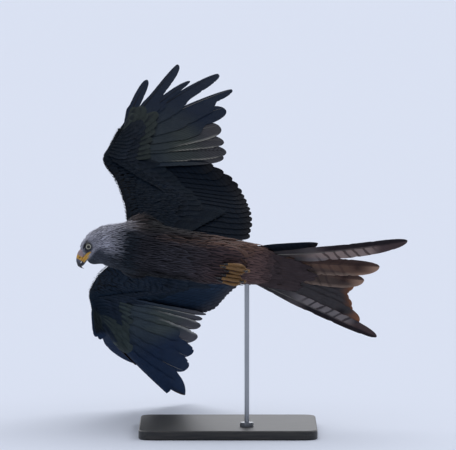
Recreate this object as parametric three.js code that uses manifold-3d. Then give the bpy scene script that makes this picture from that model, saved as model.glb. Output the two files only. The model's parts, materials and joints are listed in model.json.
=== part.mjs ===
// A red kite in banked flight, life size, held up by a plain display stand.
// Millimetres. The part's frame has +Z up and its origin under the middle of the stand's base.
// The bird is built in its own frame, +X forward, +Y to its left and +Z out of its back,
// and is then banked as a whole.
import * as THREE from "three";
import { mergeVertices } from "three/addons/utils/BufferGeometryUtils.js";
import Module from "manifold-3d";

const wasm = await Module();
wasm.setup();
const { Manifold } = wasm;

const point = (x, y, z) => new THREE.Vector3(x, y, z);
const radians = THREE.MathUtils.degToRad;

// Driving dimensions
const GAP = 0.3; // left between two nodes that touch
const BIRD_CENTRE = point(-82, -94, 348);
const VIEW_TILT = radians(4); // the flight path's plane leans back by this much
const YAW = radians(9);
const PITCH = radians(12);
const ROLL = radians(7);

const TAIL_FACE = -128; // where the torso ends, along the bird's X
const NECK_FACE = 128; // where the neck starts
const TORSO_SIDES = 24;
const HEAD_SIDES = 26;

const EYE_MIDDLE = point(189, -9.5, 0);
const EYE_SPREAD = 12.6; // from the middle of the head to the middle of an eyeball
const EYEBALL = 7.2;
const HEAD_FLOOR = -25; // the neck's upper end, below the eyes
const SKULL_BACKSET = -8; // the skull's axis runs this far behind the eyes

const BASE = { width: 340, depth: 300, height: 18, corner: 24, bevel: 2 };
const ROD = { radius: 4.5, x: 36, y: -68, sink: 12, top: 322 };
const COLLAR = { radius: 13, height: 8 };

const VANE_EDGE = 0.55;
const PRIMARIES = 10;
const FINGERS = 6; // the outermost primaries, which are notched
const SECONDARIES = 14;

const LEFT_WING = {
  shoulder: point(80, 36, 36),
  elbow: point(33, 88, 131),
  wrist: point(140, 132, 209),
  handTip: point(102, 186, 312),
  leadingEdge: [
    point(116, 26, 22),
    point(117.5, 66, 88),
    point(131, 102, 150),
    point(150, 133, 211),
    point(137, 153, 248),
    point(112.5, 186, 315),
  ],
  fan: [14.4, 26.7, 45.2, 58.5, 72.1],
  dihedral: [66.1, 66.1, 65.9, 66.4, 67.3],
  primaryLengths: [250, 257, 261, 275, 325, 396, 419, 316, 360, 227],
  primaryLead: [17, 31, 29, 29, 27, 6, 9, 13, 8, 13],
  primaryTrail: [28, 31, 33, 41, 50, 35, 30, 17, 28, 15],
  primaryTurn: [4, 1, 1, 1.8, 0.8, 0, 1.4, -2, 0, 0],
  primaryBend: [-3, 0, 8, -2, 1, -1, 0, -1, -6, 0],
  fingerNotch: [0.66, 0.75, 0.56, 0.57, 0.44, 0.41],
  fingerLeadCut: [0, 0.03, 0.15, 0.24, 0.3, 0.3],
  fingerTrailCut: [0.3, 0.42, 0.25, 0.54, 0.42, 0.3],
  secondaryOut: [0.083, 0.03, 0, -0.01, 0],
  secondaryRise: [0.2, 0.225, 0.2, 0.18, 0.17],
  secondaryLengths: [217, 234, 232, 214, 192, 184, 196, 210],
  handSweep: 0.01,
  alulaLengths: [154, 124, 96],
  alulaTurns: [-3, -6, -9],
};

const RIGHT_WING = {
  shoulder: point(80, 36, 36),
  elbow: point(22, 85, 126),
  wrist: point(117, 132, 212),
  handTip: point(71, 206, 304),
  leadingEdge: [
    point(118, 26, 24),
    point(138, 64, 80),
    point(142, 92, 132),
    point(131, 131, 207),
    point(114, 162, 248),
    point(84, 226, 315),
  ],
  fan: [5.4, 25.9, 46.6, 55.7, 57.3],
  dihedral: [79, 71, 63.5, 58.5, 61.5],
  primaryLengths: [230, 233, 248, 281, 325, 369, 400, 433, 356, 230],
  primaryLead: [17, 16, 19, 26, 27, 27, 13, 7, 7, 14],
  primaryTrail: [36, 39, 48, 51, 60, 51, 30, 29, 30, 25],
  primaryTurn: [1, 0, 0.4, 2.4, 1.2, 0.4, 0, -1, -2, 1],
  primaryBend: [0, 0, 0, -3, -2, 2, 0, -2, 0, 0],
  fingerNotch: [0.66, 0.63, 0.6, 0.57, 0.61, 0.5],
  fingerLeadCut: [0.06, 0.3, 0.3, 0.2, 0.75, 0.3],
  fingerTrailCut: [0.3, 0.3, 0.35, 0.3, 0.18, 0.54],
  secondaryOut: [0.022, 0.05, 0.02, 0, 0],
  secondaryRise: [0.11, 0.23, 0.31, 0.37, 0.38],
  secondaryLengths: [221, 217, 212, 198, 180, 181, 210, 236],
  handSweep: 0.06,
  alulaLengths: [150, 162, 157],
  alulaTurns: [7, 1, -3],
  outerCovert: { from: 20, to: 218, sweep: 0.32 }, // it bulges ahead of the last primary
};

const TAIL = {
  root: point(-96, 2, 8),
  twist: radians(15),
  step: 1.0, // each feather lies this far below the one before it
  left: { fan: [-6.6, -5.2, -3.2, 1, 7.8, 17.5], length: [236, 238, 242, 258, 283, 336], curve: -0.11 },
  right: { fan: [-8.2, -9.8, -11.8, -14, -16.6, -18.8], length: [236, 242, 252, 258, 280, 326], curve: 0 },
};

const COLOURS = {
  head: 0xa7a6ab,
  neck: 0x8b7c76,
  torso: 0x5c4238,
  arm: 0x3a302d,
  hand: 0x4b4642,
  tail: 0x8a5a41,
  cere: 0xd9a53a,
  horn: 0x2e2c2e,
  iris: 0xd8d3b4,
  foot: 0xc9903a,
  claw: 0x1c1a1b,
  base: 0x2b2d30,
  rod: 0x9a9ea3,
};

// Solids
function geometryOf(points, faces) {
  const geometry = new THREE.BufferGeometry();
  geometry.setAttribute("position", new THREE.Float32BufferAttribute(points.flatMap((p) => p.toArray()), 3));
  geometry.setIndex(faces.flat());
  return geometry;
}

function signedVolume(positions, triangles) {
  const [a, b, c] = [point(), point(), point()];
  let sum = 0;
  for (let i = 0; i < triangles.length; i += 3) {
    a.fromArray(positions, 3 * triangles[i]);
    b.fromArray(positions, 3 * triangles[i + 1]);
    c.fromArray(positions, 3 * triangles[i + 2]);
    sum += a.dot(b.cross(c)) / 6;
  }
  return sum;
}

function solidOf(geometry) {
  const bare = geometry.clone();
  bare.deleteAttribute("normal");
  bare.deleteAttribute("uv");
  const merged = mergeVertices(bare, 1e-4);
  const vertProperties = new Float32Array(merged.attributes.position.array);
  const triVerts = new Uint32Array(merged.index.array);
  if (signedVolume(vertProperties, triVerts) < 0) triVerts.reverse();
  return new Manifold(new wasm.Mesh({ numProp: 3, vertProperties, triVerts }));
}

function meshOf(name, solid, colour, roughness = 0.8, metalness = 0) {
  const mesh = solid.getMesh();
  const geometry = new THREE.BufferGeometry();
  geometry.setAttribute("position", new THREE.BufferAttribute(mesh.vertProperties, 3));
  geometry.setIndex(new THREE.BufferAttribute(mesh.triVerts, 1));
  geometry.computeVertexNormals();
  const material = new THREE.MeshStandardMaterial({ color: colour, roughness, metalness });
  const made = new THREE.Mesh(geometry, material);
  made.name = name;
  return made;
}

// The largest closed surface of a solid, which leaves out sealed hollows and loose scraps.
function largest(solid) {
  const bodies = solid.decompose();
  return bodies.reduce((best, body) => (body.volume() > best.volume() ? body : best));
}

const fuse = (pieces) => largest(Manifold.union(pieces));

// A closed solid through rings of the same number of points, each end closed round a pole.
function loft(rings, startPole = middleOf(rings[0]), endPole = middleOf(rings.at(-1))) {
  const sides = rings[0].length;
  const points = [...rings.flat(), startPole, endPole];
  const start = rings.length * sides;
  const end = start + 1;
  const last = start - sides;
  const faces = [];
  for (let j = 0; j < sides; j++) {
    const next = (j + 1) % sides;
    for (let i = 0; i < last; i += sides) {
      faces.push([i + j, i + next, i + sides + next], [i + j, i + sides + next, i + sides + j]);
    }
    faces.push([start, next, j], [end, last + j, last + next]);
  }
  return solidOf(geometryOf(points, faces));
}

function middleOf(ring) {
  return ring.reduce((sum, p) => sum.add(p), point(0, 0, 0)).divideScalar(ring.length);
}

// An ellipse of a few sides round a centre, spanned by two half axes.
function ellipse(centre, halfA, halfB, sides) {
  return Array.from({ length: sides }, (_, j) => {
    const angle = (2 * Math.PI * j) / sides;
    return centre.clone().addScaledVector(halfA, Math.cos(angle)).addScaledVector(halfB, Math.sin(angle));
  });
}

// A tapering round limb through a few points, whose radius follows a list of its own.
function limb(through, radii, sides, steps, grow = 0) {
  const curve = new THREE.CatmullRomCurve3(through);
  const { tangents, normals, binormals } = curve.computeFrenetFrames(steps);
  const rings = tangents.map((_, i) => {
    const radius = along(radii, i / steps) + grow;
    const halfA = normals[i].clone().multiplyScalar(radius);
    return ellipse(curve.getPointAt(i / steps), halfA, binormals[i].clone().multiplyScalar(radius), sides);
  });
  return loft(rings);
}

// A value read part way along a list, straight between its entries.
function along(values, t) {
  const place = THREE.MathUtils.clamp(t, 0, 1) * (values.length - 1);
  const i = Math.min(Math.floor(place), values.length - 2);
  return THREE.MathUtils.lerp(values[i], values[i + 1], place - i);
}

// A place on a curve, which runs on straight past both its ends.
function onCurve(curve, t) {
  const SMALL = 1e-3;
  const inside = THREE.MathUtils.clamp(t, 0, 1);
  const place = curve.getPoint(inside);
  if (t === inside) return place;
  const before = curve.getPoint(Math.max(inside - SMALL, 0));
  const slope = curve.getPoint(Math.min(inside + SMALL, 1)).sub(before).divideScalar(SMALL);
  return place.addScaledVector(slope, t - inside);
}

// A value read part way along a list, on a smooth curve through its entries.
function smoothAlong(values, t) {
  const knots = values.map((value, i) => point(i, value, 0));
  return onCurve(new THREE.CatmullRomCurve3(knots, false, "catmullrom", 0.5), t).y;
}

// The head's own frame: bill forward, left side, crown up. The bird looks to its right,
// so the left side of its head faces the way its belly does.
const HEAD = {
  forward: point(0.301, -0.954, 0),
  left: point(0, 0, -1),
  up: point(0.954, 0.301, 0),
};

function onHead(forward, left, up) {
  return EYE_MIDDLE.clone()
    .addScaledVector(HEAD.forward, forward)
    .addScaledVector(HEAD.left, left)
    .addScaledVector(HEAD.up, up);
}

const headDirection = (forward, left, up) => onHead(forward, left, up).sub(EYE_MIDDLE);

// Flesh: rounded masses that run into one another, each blended in over its own distance
const BODY_AXES = [point(1, 0, 0), point(0, 1, 0), point(0, 0, 1)];
const HEAD_AXES = [HEAD.forward, HEAD.left, HEAD.up];
const mass = (centre, radii, blend, axes = BODY_AXES) => ({ centre, radii, blend, axes });
const headMass = (place, radii, blend) => mass(onHead(...place), point(...radii), blend, HEAD_AXES);
const pair = (build) => [build(1), build(-1)];

const TRUNK_MASSES = [
  mass(point(58, 0, -4), point(88, 50, 47), 0),
  mass(point(-25, 0, -4), point(100, 48, 41), 20),
  mass(point(-100, 2, 0), point(82, 43.5, 25), 20),
  mass(point(118, -1, -2), point(46, 45, 38), 20),
  ...pair((side) => mass(point(84, 38 * side, 24), point(36, 24, 26), 14)),
  ...pair((side) => mass(point(-62, 22 * side, -30), point(40, 18, 16), 14)),
];

const HEAD_MASSES = [
  mass(point(152, -5, 0), point(36, 38, 30), 18),
  headMass([-21, 0, -23], [23, 23, 21], 10),
  headMass([-9.5, 0, -4.6], [21.5, 21, 14.2], 8),
  headMass([6, 0, -2.8], [18, 12.5, 12.6], 8),
  headMass([4, 0, -21.6], [25.5, 18.5, 17.2], 12),
  ...pair((side) => headMass([2, 13.5 * side, 6.3], [12, 5.2, 3], 4)),
];

function distanceTo({ centre, radii, axes }, place) {
  const away = place.clone().sub(centre);
  const local = point(away.dot(axes[0]), away.dot(axes[1]), away.dot(axes[2]));
  const scaled = local.clone().divide(radii);
  const steep = scaled.clone().divide(radii).length();
  return steep < 1e-9 ? -1 : (scaled.length() * (scaled.length() - 1)) / steep;
}

function fleshField(place) {
  let depth = Infinity;
  for (const each of [...TRUNK_MASSES, ...HEAD_MASSES]) {
    const other = distanceTo(each, place);
    const share = Math.max(each.blend - Math.abs(depth - other), 0);
    depth = Math.min(depth, other) - (each.blend ? (share * share) / (4 * each.blend) : 0);
  }
  return depth;
}

// How far the flesh reaches from a place inside it. A grown skin lies outside it by that much.
function reach(from, direction, grow = 0) {
  const STRIDE = 3;
  const outside = (r) => fleshField(from.clone().addScaledVector(direction, r)) >= grow;
  let far = STRIDE;
  while (!outside(far)) far += STRIDE;
  let near = far - STRIDE;
  for (let i = 0; i < 14; i++) {
    const half = (near + far) / 2;
    if (outside(half)) far = half;
    else near = half;
  }
  return near;
}

function fleshRing(centre, sideways, upward, sides, grow = 0) {
  return Array.from({ length: sides }, (_, j) => {
    const angle = (2 * Math.PI * j) / sides;
    const ray = point(0, 0, 0)
      .addScaledVector(sideways, Math.cos(angle))
      .addScaledVector(upward, Math.sin(angle));
    return centre.clone().addScaledVector(ray, reach(centre, ray, grow));
  });
}

const DORSAL = point(0, 0, 1);
const RIGHTWARD = point(0, -1, 0);

function torsoSolid(grow = 0) {
  const STATIONS = 15;
  const rings = Array.from({ length: STATIONS }, (_, i) => {
    const x = THREE.MathUtils.lerp(TAIL_FACE, NECK_FACE, i / (STATIONS - 1));
    return fleshRing(point(x, 0, 0), RIGHTWARD, DORSAL, TORSO_SIDES, grow);
  });
  return loft(rings);
}

const NECK_TOP = onHead(SKULL_BACKSET, 0, HEAD_FLOOR);

function neckSolid() {
  const STATIONS = 4;
  const start = point(NECK_FACE + GAP, 0, 0);
  const bend = point(148, -6, 0);
  const end = NECK_TOP.clone().addScaledVector(HEAD.up, -GAP);
  const axis = new THREE.QuadraticBezierCurve3(start, bend, end);
  const rings = Array.from({ length: STATIONS }, (_, i) => {
    const t = i / (STATIONS - 1);
    const sideways = RIGHTWARD.clone().lerp(HEAD.forward, t).normalize();
    return fleshRing(axis.getPoint(t), sideways, DORSAL, TORSO_SIDES);
  });
  return loft(rings);
}

// Head
function skullSolid() {
  const STATIONS = 13;
  const crown = reach(NECK_TOP, HEAD.up);
  const rings = Array.from({ length: STATIONS }, (_, i) => {
    const height = crown * Math.sin((i / STATIONS) * (Math.PI / 2));
    const centre = NECK_TOP.clone().addScaledVector(HEAD.up, height);
    return fleshRing(centre, HEAD.forward, DORSAL, HEAD_SIDES);
  });
  return loft(rings, NECK_TOP.clone(), NECK_TOP.clone().addScaledVector(HEAD.up, crown));
}

// A stretch of the bill: how far forward, its top and bottom over the eye's level, half its width
// and how far its section leans over as the hook turns down.
const UPPER_BILL = [
  { forward: 12, top: 7.5, bottom: -5.2, half: 7.6, lean: 0 },
  { forward: 19, top: 9.4, bottom: -5.2, half: 7.8, lean: 0 },
  { forward: 25, top: 8.4, bottom: -5.5, half: 7, lean: 4 },
  { forward: 30.5, top: 7, bottom: -5.6, half: 5.6, lean: 14 },
  { forward: 35, top: 4.6, bottom: -5.6, half: 4.6, lean: 30 },
  { forward: 38.6, top: 1.4, bottom: -5.6, half: 3.5, lean: 48 },
  { forward: 41.6, top: -1.8, bottom: -6.6, half: 2.4, lean: 66 },
  { forward: 43, top: -6.8, bottom: -9.6, half: 1.5, lean: 80 },
  { forward: 43.2, top: -11.6, bottom: -12.8, half: 0.7, lean: 90 },
];
const LOWER_BILL = [
  { forward: 12, top: -6, bottom: -12.6, half: 6.6, lean: 0 },
  { forward: 19, top: -6, bottom: -12.8, half: 6.2, lean: 0 },
  { forward: 26, top: -6.2, bottom: -12.6, half: 5, lean: 0 },
  { forward: 33, top: -6.6, bottom: -11.8, half: 3.6, lean: 0 },
  { forward: 37.6, top: -7.6, bottom: -10.4, half: 1.9, lean: 0 },
];
const GAPE = { side: 0.9, tall: 1.5 };

function billSolid(profile, grow) {
  const SIDES = 12;
  const rings = profile.map(({ forward, top, bottom, half, lean }) => {
    const middle = (top + bottom) / 2;
    const tall = (top - bottom) / 2 + grow;
    const tip = radians(lean);
    const upward = headDirection(Math.sin(tip), 0, Math.cos(tip)).multiplyScalar(tall);
    return ellipse(onHead(forward, 0, middle), headDirection(0, half + grow, 0), upward, SIDES);
  });
  return loft(rings);
}

// The bare rim of the mouth, from the side of the bill back to the corner below the eye.
function gapeSolid(side, drop, grow) {
  const rim = new THREE.CatmullRomCurve3([
    onHead(26, 5.2 * side, -4.2 - drop),
    onHead(19, 8.2 * side, -5.2 - drop),
    onHead(13, 11.6 * side, -7 - drop),
    onHead(7.6, 14.6 * side, -9.6 - 0.8 * drop),
  ]);
  const STEPS = 4;
  const rings = Array.from({ length: STEPS + 1 }, (_, i) => {
    const t = i / STEPS;
    const size = 1 - 0.45 * t * t;
    const outward = headDirection(0.35, side, 0).normalize();
    const halfA = outward.multiplyScalar(GAPE.side * 2.2 * size + grow);
    return ellipse(rim.getPoint(t), halfA, headDirection(0, 0, GAPE.tall * size + grow), 6);
  });
  return loft(rings);
}

const GAPE_DROP = 3.7;
const upperBill = (grow) =>
  fuse([billSolid(UPPER_BILL, grow), ...pair((side) => gapeSolid(side, 0, grow))]);
const lowerBill = (grow) =>
  fuse([billSolid(LOWER_BILL, grow), ...pair((side) => gapeSolid(side, GAPE_DROP, grow))]);

function ball(centre, radii, across = 14, down = 8) {
  const geometry = new THREE.SphereGeometry(1, across, down);
  const turned = new THREE.Matrix4().makeBasis(HEAD.forward, HEAD.left, HEAD.up);
  geometry.scale(...radii).applyMatrix4(turned);
  geometry.translate(...centre.toArray());
  return solidOf(geometry);
}

const eyeSolid = (side, grow) =>
  ball(onHead(0, EYE_SPREAD * side, 0), Array(3).fill(EYEBALL + grow));

// The rim of the lids, a ring set round the eye and open a little wider than high.
function lidSolid(side) {
  const geometry = new THREE.TorusGeometry(6.1, 1.15, 6, 16);
  const outward = headDirection(0.2, side, 0.06).normalize();
  const forward = headDirection(1, -0.2 * side, 0).normalize();
  const upward = outward.clone().cross(forward).normalize();
  geometry.scale(1.06, 0.94, 1);
  geometry.applyMatrix4(new THREE.Matrix4().makeBasis(forward, upward, outward));
  geometry.translate(...onHead(0.4, 16.6 * side, 0).toArray());
  return solidOf(geometry);
}

function headNodes() {
  const nostrils = pair((side) => ball(onHead(22.5, 8 * side, 3), [2, 2.4, 1.1], 10, 6));
  const upper = upperBill(0).subtract(Manifold.union(nostrils));
  const lower = lowerBill(0).subtract(upperBill(GAP));
  const eyes = pair((side) => eyeSolid(side, 0));
  const cutters = [upperBill(GAP), lowerBill(GAP), ...pair((side) => eyeSolid(side, GAP))];
  const skull = fuse([skullSolid(), ...pair(lidSolid)]).subtract(Manifold.union(cutters));
  return [
    meshOf("head", largest(skull), COLOURS.head),
    meshOf("bill_upper", largest(upper), COLOURS.cere, 0.45),
    meshOf("bill_lower", largest(lower), COLOURS.horn, 0.4),
    meshOf("eye_left", eyes[0], COLOURS.iris, 0.1),
    meshOf("eye_right", eyes[1], COLOURS.iris, 0.1),
  ];
}

// A vane: a thin tapered plate on a sheet of feathers. A sheet says where a place lies that is so
// far along the row (k) and so far from the roots (s), and which way is up there. A vane keeps to
// its sheet, and rises towards its leading edge by one step for each feather of the row, so that
// it lies over or under its neighbours and never crosses them. It reaches past few of them.
const LEAD_OVER = 0.95;
const TRAIL_OVER = 1.7;

function vane(sheet, shape) {
  const { k, from = 0, length, interval = Infinity, lead, trail, outline, steps, ...rest } = shape;
  const { shaft = 0, step = 0, height = 0 } = rest;
  const ring = (t) => {
    const s = THREE.MathUtils.lerp(from, length, t);
    const { spacing, slant } = sheet.spread(k, s);
    const neighbour = spacing * interval;
    const [leadShare, trailShare] = outline(t);
    const ribs = [[Math.min(lead * leadShare, LEAD_OVER * neighbour), VANE_EDGE]];
    if (shaft) ribs.push([0, Math.max(shaft * (1 - 0.8 * t), VANE_EDGE)]);
    ribs.push([-Math.min(trail * trailShare, TRAIL_OVER * neighbour), VANE_EDGE]);
    const face = (sign) =>
      ribs.map(([side, thick]) => {
        const away = (sheet.leadward * side) / spacing;
        const place = sheet.place(k + away, s - slant * away);
        const rise = height + (step * side) / neighbour + (sign * thick) / 2;
        return place.addScaledVector(sheet.normal(k + away, s), rise);
      });
    return [...face(1), ...face(-1)];
  };
  return plate(steps.map(ring));
}

// Joins rings of ribs, first the upper points and then the lower ones, split alike on both faces.
function plate(rings) {
  const size = rings[0].length;
  const ribs = size / 2;
  const faces = [];
  const quad = (a, b, c, d) => faces.push([a, b, c], [a, c, d]);
  for (let i = 0; i + 1 < rings.length; i++) {
    const here = i * size;
    const next = here + size;
    for (let j = 0; j + 1 < ribs; j++) {
      quad(here + j, here + j + 1, next + j + 1, next + j);
      const low = here + ribs + j;
      const beyond = next + ribs + j;
      faces.push([low, beyond + 1, low + 1], [low, beyond, beyond + 1]);
    }
    quad(here, next, next + ribs, here + ribs);
    quad(next + ribs - 1, here + ribs - 1, here + size - 1, next + size - 1);
  }
  const end = (rings.length - 1) * size;
  for (let j = 0; j + 1 < ribs; j++) {
    quad(j, ribs + j, ribs + j + 1, j + 1);
    quad(end + j, end + j + 1, end + ribs + j + 1, end + ribs + j);
  }
  return solidOf(geometryOf(rings.flat(), faces));
}

// Outlines of vanes: the share of the full width ahead of the shaft and behind it
const rounded = (t) => Math.min(0.28 + 1.9 * t, 1) * Math.sqrt(Math.max(1 - t ** 8, 0.06));
const broadOutline = (t) => [rounded(t), rounded(t)];
const fingerOutline = (notch, leadCut, trailCut) => (t) => {
  const narrow = THREE.MathUtils.smoothstep(t, notch - 0.06, notch + 0.06);
  const tip = Math.sqrt(Math.max(1 - t ** 8, 0.03));
  const base = Math.min(0.26 + 1.9 * t, 1);
  return [base * tip * (1 - leadCut * narrow), base * tip * (1 - trailCut * narrow)];
};

// Wings: each is built as a left wing, and the right one is then mirrored
const skeleton = ({ shoulder, elbow, wrist, handTip }) => [shoulder, elbow, wrist, handTip];

function fleshBehind(pose) {
  const [shoulder, elbow, wrist, handTip] = skeleton(pose);
  const upperArm = shoulder.clone().lerp(elbow, 0.5);
  const hand = wrist.clone().lerp(handTip, 0.5);
  return [
    shoulder.clone().add(point(-38, -6, -6)),
    upperArm.add(point(-24, 4, 6)),
    elbow.clone().add(point(-14, 1, 3)),
    wrist.clone().add(point(-15, 1, 3)),
    hand.add(point(-12, 2, 6)),
    handTip.clone().add(point(-6, 2, 8)),
  ];
}

// Skin and muscle of the wing, from inside the shoulder to the last finger bone.
function wingCore(pose) {
  const STATIONS = 12;
  const SIDES = 10;
  const THICKNESS = [26, 24, 19, 13, 9, 5];
  const ARCH = [3, 6, 6, 3, 1, 0];
  const front = new THREE.CatmullRomCurve3(pose.leadingEdge);
  const rear = new THREE.CatmullRomCurve3(fleshBehind(pose));
  const rings = Array.from({ length: STATIONS + 1 }, (_, i) => {
    const t = i / STATIONS;
    const back = rear.getPoint(t);
    const chord = front.getPoint(t).sub(back);
    const normal = chord.clone().cross(front.getTangent(t)).normalize();
    return Array.from({ length: SIDES }, (_, j) => {
      const angle = (2 * Math.PI * j) / SIDES;
      const share = 0.5 + 0.5 * Math.cos(angle);
      const rise = (along(THICKNESS, t) / 2) * Math.sin(angle) + along(ARCH, t) * 4 * share * (1 - share);
      return back.clone().addScaledVector(chord, share).addScaledVector(normal, rise);
    });
  });
  return loft(rings);
}

// A sheet over a row of quills: where a quill starts, which way it runs and how far, with the bow
// that lifts the blades' ends and sweeps them back.
function sheetOf({ rootAt, directionAt, bowLength, leadward, lift, sweep, ...rest }) {
  const SMALL = 0.01;
  const straight = (k, s) => rootAt(k).addScaledVector(directionAt(k), s);
  const spanward = (k, s) =>
    straight(k + SMALL, s)
      .sub(straight(k - SMALL, s))
      .divideScalar(2 * SMALL);
  const normal = (k, s) =>
    spanward(k, Math.max(s, 40))
      .multiplyScalar(leadward)
      .cross(directionAt(k))
      .normalize();
  const across = (k, s) => directionAt(k).cross(normal(k, s));
  const place = (k, s) => {
    const bow = (s * (s - bowLength)) / bowLength;
    return straight(k, s)
      .addScaledVector(normal(k, s), lift(k) * bow)
      .addScaledVector(across(k, s), -sweep * bow);
  };
  const spread = (k, s) => {
    const span = spanward(k, Math.max(s, 25));
    const slant = span.dot(directionAt(k));
    return { slant, spacing: span.addScaledVector(directionAt(k), -slant).length() };
  };
  return { place, normal, across, spread, leadward, ...rest };
}

const BOW = 300; // a quill bows back to its straight line this far from its root

function handSheet(pose) {
  const knuckles = new THREE.LineCurve3(pose.wrist, pose.handTip);
  return sheetOf({
    rootAt: (k) => onCurve(knuckles, 0.02 + 0.96 * (k - 0.06 * k ** 4)),
    directionAt: (k) => {
      const fan = radians(smoothAlong(pose.fan, k));
      const rise = radians(smoothAlong(pose.dihedral, k));
      return point(-Math.cos(fan), Math.sin(fan) * Math.cos(rise), Math.sin(fan) * Math.sin(rise));
    },
    lengthAt: (k) => smoothAlong(pose.primaryLengths, k),
    leadward: 1,
    bowLength: BOW,
    lift: (k) => 0.03 + 0.06 * k,
    sweep: pose.handSweep,
  });
}

function armSheet(pose) {
  const quillLine = new THREE.CatmullRomCurve3([
    pose.wrist,
    pose.wrist.clone().lerp(pose.elbow, 0.5),
    pose.elbow,
    pose.elbow.clone().lerp(pose.shoulder, 0.8),
  ]);
  return sheetOf({
    rootAt: (k) => onCurve(quillLine, 0.02 + 0.96 * k),
    directionAt: (k) => {
      const out = smoothAlong(pose.secondaryOut, k);
      const rise = smoothAlong(pose.secondaryRise, k);
      return point(-Math.sqrt(Math.max(1 - out * out - rise * rise, 0)), out, rise).normalize();
    },
    lengthAt: (k) => smoothAlong(pose.secondaryLengths, k),
    leadward: -1,
    bowLength: BOW,
    lift: (k) => along([0.03, -0.06, -0.06, -0.06], k),
    sweep: 0,
  });
}

const fingerSteps = (notch) => [0, 0.08, 0.24, notch - 0.08, notch + 0.06, 0.85, 0.96, 1];
const FLIGHT_STEPS = [0, 0.14, 0.5, 0.92, 1];
const COVERT_STEPS = [0, 0.35, 0.85, 1];
const SHINGLE = 1.9; // from one flight feather up to the next

// The same sheet for one feather, which is turned towards its leading side and bent that way
function turnedSheet(sheet, length, turn, bend) {
  const slope = Math.tan(radians(turn));
  const place = (k, s) => {
    const t = s / length;
    return sheet.place(k, s).addScaledVector(sheet.across(k, s), slope * s + bend * 4 * t * (1 - t));
  };
  return { ...sheet, place };
}

function primaries(pose, sheet) {
  return Array.from({ length: PRIMARIES }, (_, i) => {
    const finger = i - (PRIMARIES - FINGERS);
    const notch = pose.fingerNotch[finger];
    const length = pose.primaryLengths[i];
    const fingered = finger >= 0;
    return vane(turnedSheet(sheet, length, pose.primaryTurn[i], pose.primaryBend[i]), {
      k: i / (PRIMARIES - 1),
      length,
      lead: pose.primaryLead[i],
      trail: pose.primaryTrail[i],
      outline: fingered
        ? fingerOutline(notch, pose.fingerLeadCut[finger], pose.fingerTrailCut[finger])
        : broadOutline,
      steps: fingered ? fingerSteps(notch) : FLIGHT_STEPS,
      interval: 1 / (PRIMARIES - 1),
      shaft: 1.9,
      step: SHINGLE,
    });
  });
}

function secondaries(sheet) {
  return Array.from({ length: SECONDARIES }, (_, i) => {
    const k = i / (SECONDARIES - 1);
    return vane(sheet, {
      k,
      length: sheet.lengthAt(k),
      lead: 15,
      trail: 28,
      outline: broadOutline,
      steps: FLIGHT_STEPS,
      interval: 1 / (SECONDARIES - 1),
      shaft: 1.9,
      step: SHINGLE,
    });
  });
}

// One row of greater coverts over the quills, on the upper side (face 1) or the lower (face -1).
function coverts(sheet, count, face, share) {
  const CLEAR = face > 0 ? 4 : 4.6;
  return Array.from({ length: count }, (_, i) => {
    const k = (i + 0.5) / count;
    return vane(sheet, {
      k,
      from: 8,
      length: sheet.lengthAt(k) * share,
      lead: 12,
      trail: 18,
      outline: broadOutline,
      steps: COVERT_STEPS,
      interval: 1 / count,
      step: 1,
      height: face * CLEAR,
    });
  });
}

// A flat sheet of a single feather from where it starts to where its tip lies. The lead side is
// to the left of its run when seen from above.
function bladeSheet({ start, tip, up, sweep = 0, lift = 0 }) {
  const run = tip.clone().sub(start);
  const length = run.length();
  const direction = run.normalize();
  const across = direction.clone().cross(up).normalize();
  const normal = across.clone().cross(direction).normalize();
  const place = (k, s) => {
    const bow = length * ((s / length) ** 2 - s / length);
    return start
      .clone()
      .addScaledVector(direction, s)
      .addScaledVector(across, k - sweep * bow)
      .addScaledVector(normal, lift * bow);
  };
  const spread = () => ({ spacing: 1, slant: 0 });
  return { place, spread, normal: () => normal, length, leadward: 1 };
}

function blade(start, tip, up, { sweep, lift, ...shape }) {
  const sheet = bladeSheet({ start, tip, up, sweep, lift });
  return vane(sheet, { k: 0, length: sheet.length, outline: broadOutline, ...shape });
}

// The bastard wing: three small feathers that lie along the front of the hand.
function alula(pose, hand) {
  const [wristEdge, handEdge, tipEdge] = pose.leadingEdge.slice(3);
  const outward = tipEdge.clone().sub(wristEdge).normalize();
  const up = hand.normal(0.8, 60);
  return pose.alulaLengths.map((length, i) => {
    const start = wristEdge
      .clone()
      .lerp(handEdge, 0.3)
      .add(point(-10 - 2 * i, 0, 0))
      .addScaledVector(up, 1.5 + 1.4 * i);
    const tip = start
      .clone()
      .addScaledVector(outward, length)
      .add(point(pose.alulaTurns[i], 0, 0))
      .addScaledVector(up, 4 + 1.2 * i);
    return blade(start, tip, up, { lead: 7, trail: 12, steps: COVERT_STEPS });
  });
}

// A covert that lies along the last primary and bulges out ahead of it
function outerCovert(hand, { from, to, sweep }) {
  const lie = (s, ahead) => hand.place(1, s).addScaledVector(hand.across(1, s), ahead);
  const up = hand.normal(1, 80);
  return blade(lie(from, 6), lie(to, 3), up, { sweep, lead: 7.5, trail: 12, steps: FLIGHT_STEPS });
}

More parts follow.
